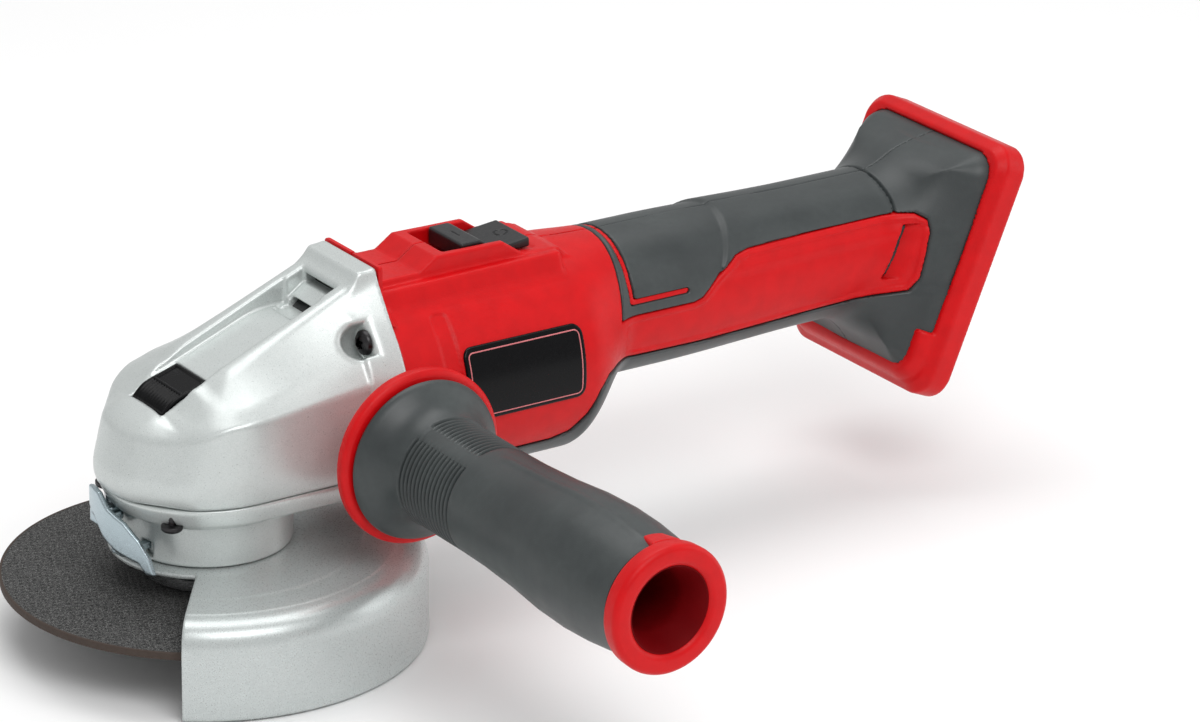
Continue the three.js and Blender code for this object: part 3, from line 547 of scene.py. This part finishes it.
def soft_field(x, y, z):
    """The soft overmould: a thin shell over the housing, open at the bare panels."""
    outer = body_form(x, y, z)
    bare = outline(x, z, BARE_OUTLINE)
    strip = 0.5 * smooth((60 - z) / 4)
    form = both(outer - strip, -(outer + 2.1))
    form = both(form, -(bare - 0.22), 0.8)
    form = without(form, both(stripe_line(x, z) - 0.95, 60 - z), 0.4)
    # the dark line where the grip meets the foot
    line = x - 242.6 + np.maximum(85 - z, 0) * 0.25
    groove = both(slab(line, -0.5, 0.5), both(79 - z, -outer - 1.0))
    form = without(form, groove, 0.2)
    w = foot_axes(x, z)[1]
    form = both(form, w + 6)
    return both(form, 62.3 - x, 0.5)


def bumper_field(x, y, z):
    """Ring bumper with a bevelled front, lapping further over the foot along its lower edge."""
    u, w = foot_axes(x, z)
    block = body_form(x, y, z)
    across = foot_outline(u, y, 42.5, 36.5, 9.0)
    bevel = (-w - 10.9 + (across + 2.9)) * BEVEL
    form = both(both(both(across, slab(w, -10.9, 0), 0.8), bevel, 0.6), w, 1.2)
    lap = both(block - 2.0, slab(w, -15.5, -4), 1.2)
    form = either(form, both(lap, u + 21.5, 1.2), 0.6)
    form = without(form, block - 0.12)
    return without(form, boxed(u, y, w, (-37.9, -31.9, -5.6), (37.9, 31.9, 9), 8))


def lever_field(x, y, z):
    """The guard's lever: a curved blade round the collar, with an eye and a hook."""
    r = np.hypot(x, y)
    angle = np.degrees(np.arctan2(y, x)) % 360
    s = (angle - 190) * math.radians(1) * 35
    pts = [(163, 34), (163, 40.6), (170, 41.2), (176, 41), (184, 37.4), (196, 35.2), (205, 31),
           (211, 26), (214, 20.9), (209, 20.9), (205, 23.8), (190, 25.4), (180, 27.7), (171, 32.5)]
    flat = outline(s, z, [((a - 190) * math.radians(1) * 35, h) for a, h in pts])
    blade = both(flat, slab(r, 34.1, 35.9), 0.7)
    eye = both(round_bar(x - PIVOT_X, y - PIVOT_Y, 4.2), slab(z, 29.6, 34.5), 0.5)
    arm = boxed(x, y, z, (-35, 2, 29.6), (-28, 9, 33.5), 0.4)
    hook = outline(x, y, [(-35.2, -9.5), (-35.2, -4), (-23.6, -5.4), (-23.6, -7.8)])
    hook = both(hook, slab(z, 24.2, 26.2), 0.3)
    root = outline(x, y, [(-35.2, -9.5), (-35.2, -4), (-31, -4.8), (-31, -8.6)])
    root = both(root, slab(z, 24.2, 29.5), 0.3)
    hook, root = both(hook, r - 35.2), both(root, r - 35.2)
    form = either(either(blade, either(eye, arm, 0.8), 0.6), either(hook, root, 0.3), 0.4)
    return without(form, round_bar(x - PIVOT_X, y - PIVOT_Y, 1.9), 0.1)


def button_field(x, y, z):
    """The spindle lock's button, with ribs at the front and a sunk panel."""
    top = either(73.55 + 0.3 * (x + 4.6), 72.0 + 0.62 * (x + 13), 1.0)
    top = either(top, 68.7 + 1.25 * (x + 18), 1.5)
    form = both(both((z - top) * 0.85, 64.4 - z, 0.3), np.abs(y) - 9, 0.5)
    form = both(form, both(slab(x, -20.2, -4.6), 70.4 - z + (x + 4.6) * 0.3), 0.5)
    ribs = 0.42 * np.cos(y * 2 * math.pi / 1.45)
    ribbed = (z - top + 0.55 + ribs) * 0.7
    zone = both(slab(x, -19.6, -13.2), np.abs(y) - 8.0)
    form = without(form, both(zone, -ribbed), 0.1)
    panel = both(slab(x, -12.4, -5.6), np.abs(y) - 7.9, 0.8)
    return without(form, both(panel, -(z - top + 0.55) * 0.9), 0.25)


def slider_field(x, y, z):
    """The slide switch, with its two plain marks."""
    top = either(99.3, 99.3 - (x - 91) * 0.84, 0.8)
    rear = 95.7 + (x - 98) * 0.11
    top = np.maximum(top, rear)
    form = both((z - top) * 0.8, np.abs(y) - 9.3, 0.7)
    form = both(form, slab(x, 83.7, 108.6), 0.8)
    form = both(form, 93.9 - z, 0.4)
    mark = both(np.abs(x - 87.4) - 0.3, np.abs(y) - 2.6)
    ring = both(np.abs(np.hypot(x - 104, y) - 2.0) - 0.3, 94 - z)
    form = without(form, both(mark, 98.95 - z), 0.15)
    return without(form, both(ring, rear - 0.35 - z), 0.15)


# ------------------------------------------------------------------ materials

def srgb(r, g, b):
    """Linear colour from the usual 0 to 255 values."""
    return tuple(((c / 255 + 0.055) / 1.055) ** 2.4 if c > 10 else c / 3294 for c in (r, g, b)) + (1,)


class Finish:
    """One procedural material: a shader and the nodes that vary it."""

    def __init__(self, name, colour, roughness, metallic=0.0, specular=0.5):
        self.material = bpy.data.materials.new(name)
        self.material.use_nodes = True
        self.nodes = self.material.node_tree.nodes
        self.links = self.material.node_tree.links
        self.shader = self.nodes["Principled BSDF"]
        self.colour = colour
        self.roughness = roughness
        self.set("Base Color", colour)
        self.set("Roughness", roughness)
        self.set("Metallic", metallic)
        self.set("Specular IOR Level", specular)
        self.place = self.nodes.new("ShaderNodeTexCoord").outputs["Object"]
        self.height = None

    def set(self, socket, value):
        self.shader.inputs[socket].default_value = value

    def noise(self, scale, detail=2.0, stretch=None):
        """A noise pattern; scale is in features for each metre."""
        texture = self.nodes.new("ShaderNodeTexNoise")
        texture.inputs["Scale"].default_value = scale
        texture.inputs["Detail"].default_value = detail
        source = self.place
        if stretch:
            mapping = self.nodes.new("ShaderNodeMapping")
            mapping.inputs["Scale"].default_value = stretch
            self.links.new(source, mapping.inputs["Vector"])
            source = mapping.outputs["Vector"]
        self.links.new(source, texture.inputs["Vector"])
        return texture.outputs["Fac"]

    def spread(self, value, low, high, from_low=0.3, from_high=0.7):
        ranged = self.nodes.new("ShaderNodeMapRange")
        for socket, number in (("From Min", from_low), ("From Max", from_high),
                               ("To Min", low), ("To Max", high)):
            ranged.inputs[socket].default_value = number
        self.links.new(value, ranged.inputs["Value"])
        return ranged.outputs["Result"]

    def tint(self, value, other, low=0.0, high=1.0):
        """Mixes the base colour towards another one by a value."""
        blend = self.nodes.new("ShaderNodeMix")
        blend.data_type = "RGBA"
        before = self.shader.inputs["Base Color"]
        if before.is_linked:
            self.links.new(before.links[0].from_socket, blend.inputs["A"])
        else:
            blend.inputs["A"].default_value = self.colour
        blend.inputs["B"].default_value = other
        self.links.new(self.spread(value, low, high), blend.inputs["Factor"])
        self.links.new(blend.outputs["Result"], before)

    def vary_roughness(self, value, amount):
        self.links.new(self.spread(value, self.roughness - amount, self.roughness + amount),
                       self.shader.inputs["Roughness"])

    def bump(self, value, distance, strength=1.0):
        """A relief of that depth in millimetres."""
        relief = self.nodes.new("ShaderNodeBump")
        relief.inputs["Distance"].default_value = distance * MM
        relief.inputs["Strength"].default_value = strength
        self.links.new(value, relief.inputs["Height"])
        if self.height is not None:
            self.links.new(self.height, relief.inputs["Normal"])
        self.height = relief.outputs["Normal"]
        self.links.new(self.height, self.shader.inputs["Normal"])


def painted_casting(name, colour, fleck, rough, grain):
    """Metallic paint: fine flecks, a faint orange peel and slow changes of tone."""
    f = Finish(name, colour, rough, metallic=0.45, specular=0.5)
    f.tint(f.noise(260, 3), tuple(c * 0.86 for c in colour[:3]) + (1,), 0, 0.35)
    f.tint(f.noise(6500, 1), fleck, 0.0, 0.6)
    f.vary_roughness(f.noise(2400, 2), 0.09)
    f.bump(f.noise(2600, 2), grain)
    f.bump(f.noise(420, 2), grain * 0.6, 0.5)
    return f.material


def moulded(name, colour, rough, grain, scale=2600, specular=0.5):
    """Moulded plastic with a fine spark-eroded grain."""
    f = Finish(name, colour, rough, specular=specular)
    f.tint(f.noise(180, 3), tuple(c * 0.8 for c in colour[:3]) + (1,), 0, 0.6)
    f.vary_roughness(f.noise(900, 2), 0.05)
    f.bump(f.noise(scale, 2), grain)
    return f.material


def soft_rubber(name, colour, worn):
    """Satin soft-touch rubber with slightly worn, paler cloudy patches."""
    f = Finish(name, colour, 0.42, specular=0.5)
    f.tint(f.noise(30, 4), worn, 0.0, 0.35)
    f.tint(f.noise(420, 4), tuple(c * 0.8 for c in colour[:3]) + (1,), 0.0, 0.3)
    f.vary_roughness(f.noise(60, 4), 0.06)
    f.bump(f.noise(3000, 2), 0.03)
    return f.material


def machined(name, colour, rough, stretch=(1, 1, 30)):
    f = Finish(name, colour, rough, metallic=1.0)
    f.vary_roughness(f.noise(400, 3, stretch), 0.08)
    f.bump(f.noise(900, 2, stretch), 0.01)
    return f.material


def woven_disc():
    """Resin-bonded grit with a glass weave that shows through as fine crossing lines."""
    f = Finish("abrasive_weave", srgb(34, 34, 35), 0.8, specular=0.3)
    weave = None
    for turn in (0.0, math.pi / 2):
        mapping = f.nodes.new("ShaderNodeMapping")
        mapping.inputs["Rotation"].default_value = (0, 0, turn + 0.4)
        f.links.new(f.place, mapping.inputs["Vector"])
        wave = f.nodes.new("ShaderNodeTexWave")
        wave.bands_direction = "X"
        wave.inputs["Scale"].default_value = 150
        wave.inputs["Distortion"].default_value = 1.2
        f.links.new(mapping.outputs["Vector"], wave.inputs["Vector"])
        if weave is None:
            weave = wave.outputs["Fac"]
        else:
            join = f.nodes.new("ShaderNodeMath")
            join.operation = "MAXIMUM"
            f.links.new(weave, join.inputs[0])
            f.links.new(wave.outputs["Fac"], join.inputs[1])
            weave = join.outputs["Value"]
    f.tint(weave, srgb(70, 70, 70), 0.0, 0.9)
    f.tint(f.noise(1800, 3), srgb(18, 18, 18), 0.0, 0.8)
    f.tint(f.noise(3200, 2), srgb(150, 150, 148), -0.7, 0.7)
    f.bump(weave, 0.14)
    f.bump(f.noise(2200, 3), 0.12)
    return f.material


RED = srgb(208, 8, 15)
SOFT = srgb(46, 51, 52)
FINISHES = {
    "cast_housing": painted_casting("cast_silver", srgb(188, 195, 193), srgb(240, 243, 242), 0.36, 0.02),
    "sheet_metal": painted_casting("sheet_silver", srgb(178, 185, 184), srgb(230, 234, 233), 0.33, 0.008),
    "bright_steel": machined("bright_steel", srgb(196, 197, 198), 0.26),
    "dark_steel": machined("black_steel", srgb(62, 61, 62), 0.34),
    "motor_iron": machined("motor_iron", srgb(140, 142, 144), 0.5, (30, 1, 1)),
    "copper": machined("copper", srgb(200, 140, 96), 0.32),
    "red_plastic": moulded("red_plastic", RED, 0.4, 0.035, specular=0.22),
    "soft_grip": soft_rubber("soft_rubber", SOFT, srgb(92, 99, 98)),
    "black_plastic": moulded("black_plastic", srgb(24, 25, 27), 0.38, 0.03),
    "seal_rubber": moulded("seal_rubber", srgb(26, 26, 26), 0.6, 0.02),
    "circuit_board": moulded("circuit_board", srgb(40, 92, 58), 0.45, 0.03),
    "abrasive": woven_disc(),
}
SHINY_BLACK = moulded("label_black", srgb(8, 8, 10), 0.24, 0.004, specular=0.16)
LABEL_LINE = moulded("label_line", srgb(214, 120, 124), 0.4, 0.01)
RIM_BROWN = moulded("disc_rim", srgb(66, 54, 47), 0.8, 0.1, 1500)
# a darker copy of the red plastic: painted shade inside the side handle's hollow end
SHADED_RED = moulded("red_painted_shade", srgb(112, 5, 10), 0.5, 0.02, specular=0.1)
ZINC = machined("lever_zinc", srgb(176, 190, 196), 0.3)

SLOT_OF = {row["node"]: row["material_slot"] for row in frame["record"]["subparts"]}
BODY_OF = {node: body for body, members in frame["record"]["behaviour"]["bodies"].items()
           for node in members}
for node, piece in frame["nodes"].items():
    piece.data.materials.clear()
    piece.data.materials.append(FINISHES[SLOT_OF[node]])


def stands_for(piece, node):
    """The piece takes over from a CAD node: its body and its place on show."""
    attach(piece, BODY_OF[node])
    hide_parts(node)
    return piece


def joins(piece, body):
    """An added piece that stands for no CAD node."""
    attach(piece, body)
    return piece


def coarse(step):
    """The given cell size times a factor, now 1, so cells keep their size."""
    return step * 1.0


# ------------------------------------------------------------------ gear head and guard

CAST = FINISHES["cast_housing"]
SHEET = FINISHES["sheet_metal"]
RED_SHELL = FINISHES["red_plastic"]
SOFT_SHELL = FINISHES["soft_grip"]
BLACK = FINISHES["black_plastic"]

stands_for(skin("gear_head_casting", head_field, (-38, -42, 39), (52, 42, 102),
                coarse(0.65), CAST), "gear_head")


def baffle_field(x, y, z):
    """Dark wall inside the head, seen through its two slots."""
    form = both(head_form(x, y, z) + 4.2, boxed(x, y, z, (29, -10, 76), (47, 10, 97), 1))
    floor = both(z - channel_line(x) + 3.2, x - 35)
    upper = both(both(z - 83.2 - (x - 34) * 0.72, x - 42), 33 - x)
    rear = both(z - 95, 43.4 - x)
    return both(form, either(either(floor, upper), rear))


joins(skin("slot_baffle", baffle_field, (28, -11, 75), (48, 11, 98), 0.5, BLACK),
      "body")
stands_for(skin("bearing_cover_casting", cover_field, (-35, -34, 19), (36, 34, 43),
                coarse(0.5), CAST), "bearing_cover")


def guard_field(x, y, z):
    """Half hood with a rolled lip, two faint creases, and a collar."""
    r = np.hypot(x, y)
    angle = np.degrees(np.arctan2(y, x))
    across = np.abs((angle + 36.5 + 180) % 360 - 180)
    sector = (across - 90.5) * math.radians(1) * r
    crease = 0.22 * (smooth((r - 46.2) / 1.2) + smooth((r - 56.4) / 1.2))
    top = GUARD_TOP - crease
    roof = z - top
    skirt = r - GUARD_RADIUS
    outer = both(skirt, roof, 9.5)
    cavity = both(skirt + SHEET_THICKNESS, roof + SHEET_THICKNESS, 7.6)
    shell = both(both(outer, -cavity), GUARD_LOW - z, 0.4)
    bead = np.hypot(r - 65.3, z + 9.0) - 1.0
    hood = both(either(shell, bead, 0.8), sector, 0.5)
    hood = both(hood, 21.2 - r)
    ring = both(slab(r, 20.7, 30), slab(z, 18.5, GUARD_TOP), 0.4)
    collar = both(slab(r, 20.75, 22.8), slab(z, 18.5, 26), 0.5)
    return either(either(hood, ring, 0.3), collar, 1.0)


stands_for(skin("guard_hood", guard_field, (-42, -68, -12), (68, 56, 28),
                coarse(0.6), SHEET), "guard")
stands_for(skin("guard_latch_lever", lever_field, (-38, -22, 19), (-22, 14, 43),
                coarse(0.35), ZINC), "guard_lever")

stands_for(turned("disc_body", [(11.2, 7.9, 0.1), (61.9, 7.7, 0.1), (61.9, 9.9, 0.1), (11.2, 9.7, 0.1)],
                  FINISHES["abrasive"], sides=160), "cutting_disc")
joins(turned("disc_rim_band", [(61.7, 7.62, 0.1), (62.5, 7.7, 0.2), (62.5, 9.9, 0.2), (61.7, 9.98, 0.1)],
             RIM_BROWN, sides=160), "spindle")
joins(turned("disc_bore_ring", [(11.1, 7.45, 0.1), (14.4, 7.6, 0.2), (14.4, 10.05, 0.2), (11.1, 10.2, 0.1)],
             FINISHES["bright_steel"], sides=96), "spindle")


# ------------------------------------------------------------------ screws

def socket_screw(name, tip, direction, head, radius, shank):
    """A dark screw whose domed head, with a six-lobed recess, ends at tip and faces direction."""
    def local(u, v, w):
        r = np.sqrt(u * u + v * v)
        angle = np.arctan2(v, u)
        dome = np.sqrt(r * r + (w + 5.2) ** 2) - 5.5
        top = both(both(r - radius, dome, 0.5), -head - w, 0.3)
        recess = r - 1.75 - 0.36 * np.cos(6 * angle)
        top = without(top, both(recess * 0.7, -1.6 - w), 0.12)
        return either(top, both(r - shank, slab(w, -head - 3, -head + 0.3)))

    reach = radius + 0.6
    step = 0.17
    verts, quads = net(local, (-reach, -reach, -head - 3.6), (reach, reach, 0.9), step)
    verts = settle(local, verts, step)
    piece = new_piece(name, verts, quads, FINISHES["dark_steel"])
    turn = Vector((0, 0, 1)).rotation_difference(Vector(direction)).to_matrix().to_4x4()
    piece.data.transform(Matrix.Translation(Vector(tip) * MM) @ turn)
    return tidy(piece, 40)


def span(node):
    """A CAD node's lowest corner, highest corner and middle, in millimetres."""
    low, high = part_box(node)
    middle = [(a + b) / 2 / MM for a, b in zip(low, high)]
    return [v / MM for v in low], [v / MM for v in high], middle


for number in range(1, 5):
    low, high, middle = span(f"head_screw_{number}")
    screw = socket_screw(f"head_bolt_{number}", (low[0] + 0.2, middle[1], middle[2]),
                         (-1, 0, 0), 2.6, 3.9, 1.9)
    stands_for(screw, f"head_screw_{number}")
for number in range(1, 5):
    low, high, middle = span(f"cover_screw_{number}")
    screw = socket_screw(f"cover_bolt_{number}", (middle[0], middle[1], low[2] + 1.2),
                         (0, 0, -1), 2.3, 3.3, 1.0)
    stands_for(screw, f"cover_screw_{number}")
for number in range(1, 6):
    low, high, middle = span(f"housing_screw_{number}")
    screw = socket_screw(f"shell_bolt_{number}", (middle[0], high[1] - 0.1, middle[2]),
                         (0, 1, 0), 2.3, 3.2, 1.8)
    stands_for(screw, f"housing_screw_{number}")


# ------------------------------------------------------------------ motor housing, grip and foot

def half(field, side, gap, edge):
    """One side of a clamshell field, split at the middle plane."""
    return lambda x, y, z: both(field(x, y, z), gap - side * y, edge)


for name, side in (("left", -1), ("right", 1)):
    ends = (-34.5, 0.6) if side < 0 else (-0.6, 34.5)
    shell = skin(f"shell_{name}", half(housing_field, side, SEAM, 0.25), (49, ends[0], 24),
                 (281, ends[1], 102), coarse(0.66), RED_SHELL)
    stands_for(tidy(shell, 55), f"housing_{name}")
    cover = skin(f"overmould_{name}", half(soft_field, side, 0.01, 0), (61, ends[0], 23),
                 (284, ends[1], 102), coarse(0.66), SOFT_SHELL)
    stands_for(tidy(cover, 55), f"soft_grip_{name}")

stands_for(skin("bumper_ring", bumper_field, (236, -38, 18), (285, 38, 105), coarse(0.65), RED_SHELL),
           "foot_bumper")


# ------------------------------------------------------------------ switch, lock button and label

stands_for(skin("slide_switch_cap", slider_field, (82.5, -10.4, 92.5), (110, 10.4, 100.4),
                coarse(0.28), BLACK), "switch_slider")
stands_for(skin("lock_button_cap", button_field, (-21.4, -10, 63), (-3.4, 10, 76),
                coarse(0.24), SHINY_BLACK), "lock_button")


def coil_spring(name, centre, low, high, radius, wire, turns, material):
    """A round-wire compression spring standing on its lower end."""
    ring, steps = 10, round(turns * 28)
    verts = []
    for i in range(steps + 1):
        a = 2 * math.pi * turns * i / steps
        height = mix(low + wire, high - wire, i / steps)
        for k in range(ring):
            b = 2 * math.pi * k / ring
            r = radius + wire * math.cos(b)
            verts.append((centre[0] + r * math.cos(a), centre[1] + r * math.sin(a),
                          height + wire * math.sin(b)))
    faces = ring_faces(steps + 1, ring, closed=False)
    return tidy(new_piece(name, verts, faces, material), 60)


# the real spring shortens as the button goes down, which neither its CAD solid nor this fixed coil does;
# the coil takes the CAD solid's place
low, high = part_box("lock_spring")
middle = ((low.x + high.x) / 2, (low.y + high.y) / 2)
spring = coil_spring("button_spring", [v / MM for v in middle], low.z / MM, high.z / MM - 0.4,
                     3.1, 0.4, 3.5, FINISHES["bright_steel"])
stands_for(spring, "lock_spring")
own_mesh(spring)


def plate_shape(x, z, inset):
    """A rounded rectangle on the left flank, in side view."""
    low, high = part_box("name_plate")
    cx, cz = (low.x + high.x) / 2 / MM, (low.z + high.z) / 2 / MM
    hx, hz = (high.x - low.x) / 2 / MM - inset, (high.z - low.z) / 2 / MM - inset
    r = 3.2 - inset
    dx, dz = np.abs(x - cx) - hx + r, np.abs(z - cz) - hz + r
    return np.hypot(np.maximum(dx, 0), np.maximum(dz, 0)) + np.minimum(np.maximum(dx, dz), 0) - r


def plate_field(x, y, z):
    """The blank name plate, curved with the motor housing."""
    shell = slab(round_bar(y, z - MOTOR_Z, 0), 32.6, 34.25)
    return both(both(shell, plate_shape(x, z, 0), 0.35), y + 20)


def plate_line_field(x, y, z):
    """The thin line just inside the plate's edge."""
    shell = slab(round_bar(y, z - MOTOR_Z, 0), 33.9, 34.36)
    return both(both(shell, np.abs(plate_shape(x, z, 1.5)) - 0.2, 0.05), y + 20)


stands_for(skin("label_plate", plate_field, (69.5, -35.2, 50.5), (114.6, -28, 76.5), 0.4, SHINY_BLACK),
           "name_plate")
joins(skin("label_border", plate_line_field, (70, -35.2, 51), (114, -28, 76), 0.2, LABEL_LINE),
      "body")


# ------------------------------------------------------------------ side handle

def swept(name, section, material, sides=144):
    """A turned piece about the handle's axis whose section may change with the angle."""
    verts = []
    for i in range(sides):
        a = 2 * math.pi * i / sides
        ring = section(a)
        for r, t in ring:
            verts.append((HANDLE_X + r * math.cos(a), HANDLE_Y - t, HANDLE_Z + r * math.sin(a)))
    return tidy(new_piece(name, verts, ring_faces(sides, len(ring)), material), 38)


# distance along the handle and radius of the soft grip
GRIP_STOPS = [(5.3, 22.6), (5.6, 24.2), (6.6, 24.7), (8.0, 24.2), (9.6, 22.3), (11.6, 20.1), (14, 18.4),
              (17, 17.3), (20, 16.9), (44, 16.8), (56, 17.0), (72, 17.9), (86, 19.2), (98, 19.6),
              (108, 19.2), (117, 18.3), (122, 17.7), (125, 17.6)]


def grip_radius(t, a):
    """Outer radius of the soft grip: a waist with ring grooves, a belly, and a rib on top."""
    r = float(np.interp(t, [s[0] for s in GRIP_STOPS], [s[1] for s in GRIP_STOPS]))
    gap = abs(math.remainder(a - math.radians(118), 2 * math.pi))
    gap = min(gap, abs(math.remainder(a + math.radians(62), 2 * math.pi)))
    ringed = min(1.0, max(0.0, (gap - 0.16) / 0.05))
    if 18.0 < t < 44.6 and ringed > 0:
        wave = 0.5 - 0.5 * math.cos((t - 18.0) / 1.9 * 2 * math.pi)
        r -= 1.6 * ringed * wave ** 1.6
    rib = abs(math.remainder(a - math.radians(96), 2 * math.pi)) * r
    if 50 < t < 121:
        rise = min(1, (t - 50) / 4, (121 - t) / 4)
        r += 0.55 * rise * max(0.0, 1 - (rib / 1.5) ** 2)
    return r


def grip_section(a):
    """The soft grip's closed section at an angle, with stops close together at the grooves."""
    stops = [5.3, 5.45, 5.6, 6.0, 6.6, 7.2, 8, 9, 9.6, 10.6, 11.6, 12.8, 14, 15.5, 17]
    stops += list(np.arange(18.0, 44.7, 0.19)) + list(np.arange(46, 124, 2.0)) + [124.4, 124.8]
    outer = [(grip_radius(t, a), t) for t in stops]
    return [(11, 5.3)] + outer + [(16.8, 125.1), (11, 125.1)]


stands_for(swept("handle_sleeve", grip_section, SOFT_SHELL), "handle_grip")

# radius, distance along the handle, and the rounding of each corner
CORE = [(5.6, -7.4, 0.3), (7.4, -7.4, 0.5), (7.6, 0, 0.8), (25.2, 0, 1.2), (27.1, 1.0, 1.2),
        (27.2, 4.2, 0.9), (25.6, 5.1, 0.4), (10.9, 5.1, 0), (10.9, 125.3, 0), (17.6, 125.4, 0.7),
        (19.1, 126.6, 0.9), (19.3, 131.2, 1.0), (18.2, 132.4, 0.8), (14.4, 132.4, 0.8),
        (13.2, 131.6, 0.6), (9.9, 122.5, 1.5), (8.2, 90, 1), (6.6, 70, 0.5), (5.6, 60, 0.5)]
# a thin shell just inside the handle's hollow end, in the darker red: painted shade; same columns as above
SHADE_SHELL = [(13.05, 131.3, 0.1), (9.75, 122.4, 1.5), (8.05, 90, 1), (6.45, 70, 0.3), (6.3, 70, 0.1),
          (7.85, 90, 1), (9.55, 122.5, 1.5), (12.8, 131.4, 0.1)]


def handle_turned(name, profile, material, sides):
    return turned(name, [(r, -t, rounding) for r, t, rounding in profile], material, axis="y",
                  centre=(HANDLE_X, HANDLE_Y, HANDLE_Z), sides=sides)


stands_for(handle_turned("handle_body", CORE, RED_SHELL, 144), "handle_core")
# painted shade: a darker red shell inside the hollow end of the handle
joins(handle_turned("handle_shade_shell", SHADE_SHELL, SHADED_RED, 96), "side_handle")


def tab_field(x, y, z):
    """Small red lug that the end flange sends along the top of the sleeve."""
    u, v, t = x - HANDLE_X, z - HANDLE_Z, HANDLE_Y - y
    r = np.hypot(u, v)
    away = np.abs(np.arctan2(v, u) - math.radians(84)) * r
    form = both(slab(r, 16.0, 19.0 - 0.12 * (126 - t)), slab(t, 119.5, 126.5), 0.6)
    return both(form, away - 3.4 - 0.25 * (t - 119.5), 0.8)


joins(skin("handle_lug", tab_field, (34, -176, 68), (52, -166, 75), 0.3, RED_SHELL),
      "side_handle")
# a black sheet in the left air inlet: painted shade for its dark opening
joins(skin("vent_shade_sheet", vent_shade_sheet_field, (232, -26, 60), (248, -12, 80), 0.35, BLACK),
      "body")


# ------------------------------------------------------------------ floor, light and camera

lowest = min(CAD_BOX[0].z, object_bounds()[0].z)
floor_mesh = bpy.data.meshes.new("floor")
FLOOR_REACH = 6.0
floor_mesh.from_pydata([(i * FLOOR_REACH, j * FLOOR_REACH, 0)
                        for i, j in ((-1, -1), (1, -1), (1, 1), (-1, 1))], [], [(0, 1, 2, 3)])
floor = bpy.data.objects.new("floor", floor_mesh)
floor.location = (0, 0, lowest - 0.0005)
bpy.context.scene.collection.objects.link(floor)
pale = Finish("floor_pale", (0.97, 0.97, 0.97, 1), 0.8, specular=0.1)
pale.tint(pale.noise(3, 2), (0.96, 0.96, 0.96, 1), 0, 0.5)
floor_mesh.materials.append(pale.material)

world = bpy.data.worlds.new("studio")
world.use_nodes = True
sky = world.node_tree.nodes["Background"]
sky.inputs["Color"].default_value = (1, 1, 1, 1)
sky.inputs["Strength"].default_value = 0.56
bpy.context.scene.world = world


def softbox(name, place, target, size, power):
    light = bpy.data.lights.new(name, "AREA")
    light.shape = "RECTANGLE"
    light.size, light.size_y = size
    light.energy = power
    lamp = bpy.data.objects.new(name, light)
    lamp.location = place
    lamp.rotation_mode = "QUATERNION"
    lamp.rotation_quaternion = (Vector(target) - Vector(place)).to_track_quat("-Z", "Y")
    bpy.context.scene.collection.objects.link(lamp)


AIM = (0.11, 0, 0.05)
softbox("key_light", (-0.15, -0.95, 1.15), AIM, (0.9, 0.7), 8.2)
softbox("top_light", (0.25, 0.35, 1.35), AIM, (1.2, 0.8), 7.5)
softbox("side_light", (1.3, -0.6, 0.5), AIM, (0.7, 0.9), 2.5)

CAMERA_TARGET = Vector((0.1419245, 0, 0.0460344))
CAMERA_DISTANCE = 1.557084
camera = bpy.data.objects.new("camera", bpy.data.cameras.new("camera"))
camera.data.sensor_fit = "HORIZONTAL"
camera.data.sensor_width = 36
camera.data.lens = 149.39
camera.data.clip_start, camera.data.clip_end = 0.05, 50
azimuth, elevation, roll = math.radians(-34.8796), math.radians(21.7843), math.radians(1.11328)
back = Vector((math.sin(azimuth) * math.cos(elevation), -math.cos(azimuth) * math.cos(elevation),
               math.sin(elevation)))
camera.location = CAMERA_TARGET + back * CAMERA_DISTANCE
camera.rotation_mode = "QUATERNION"
camera.rotation_quaternion = (back.to_track_quat("Z", "Y")
                              @ Matrix.Rotation(roll, 3, "Z").to_quaternion())
bpy.context.scene.collection.objects.link(camera)
bpy.context.scene.camera = camera
bpy.context.scene.view_settings.view_transform = "Standard"
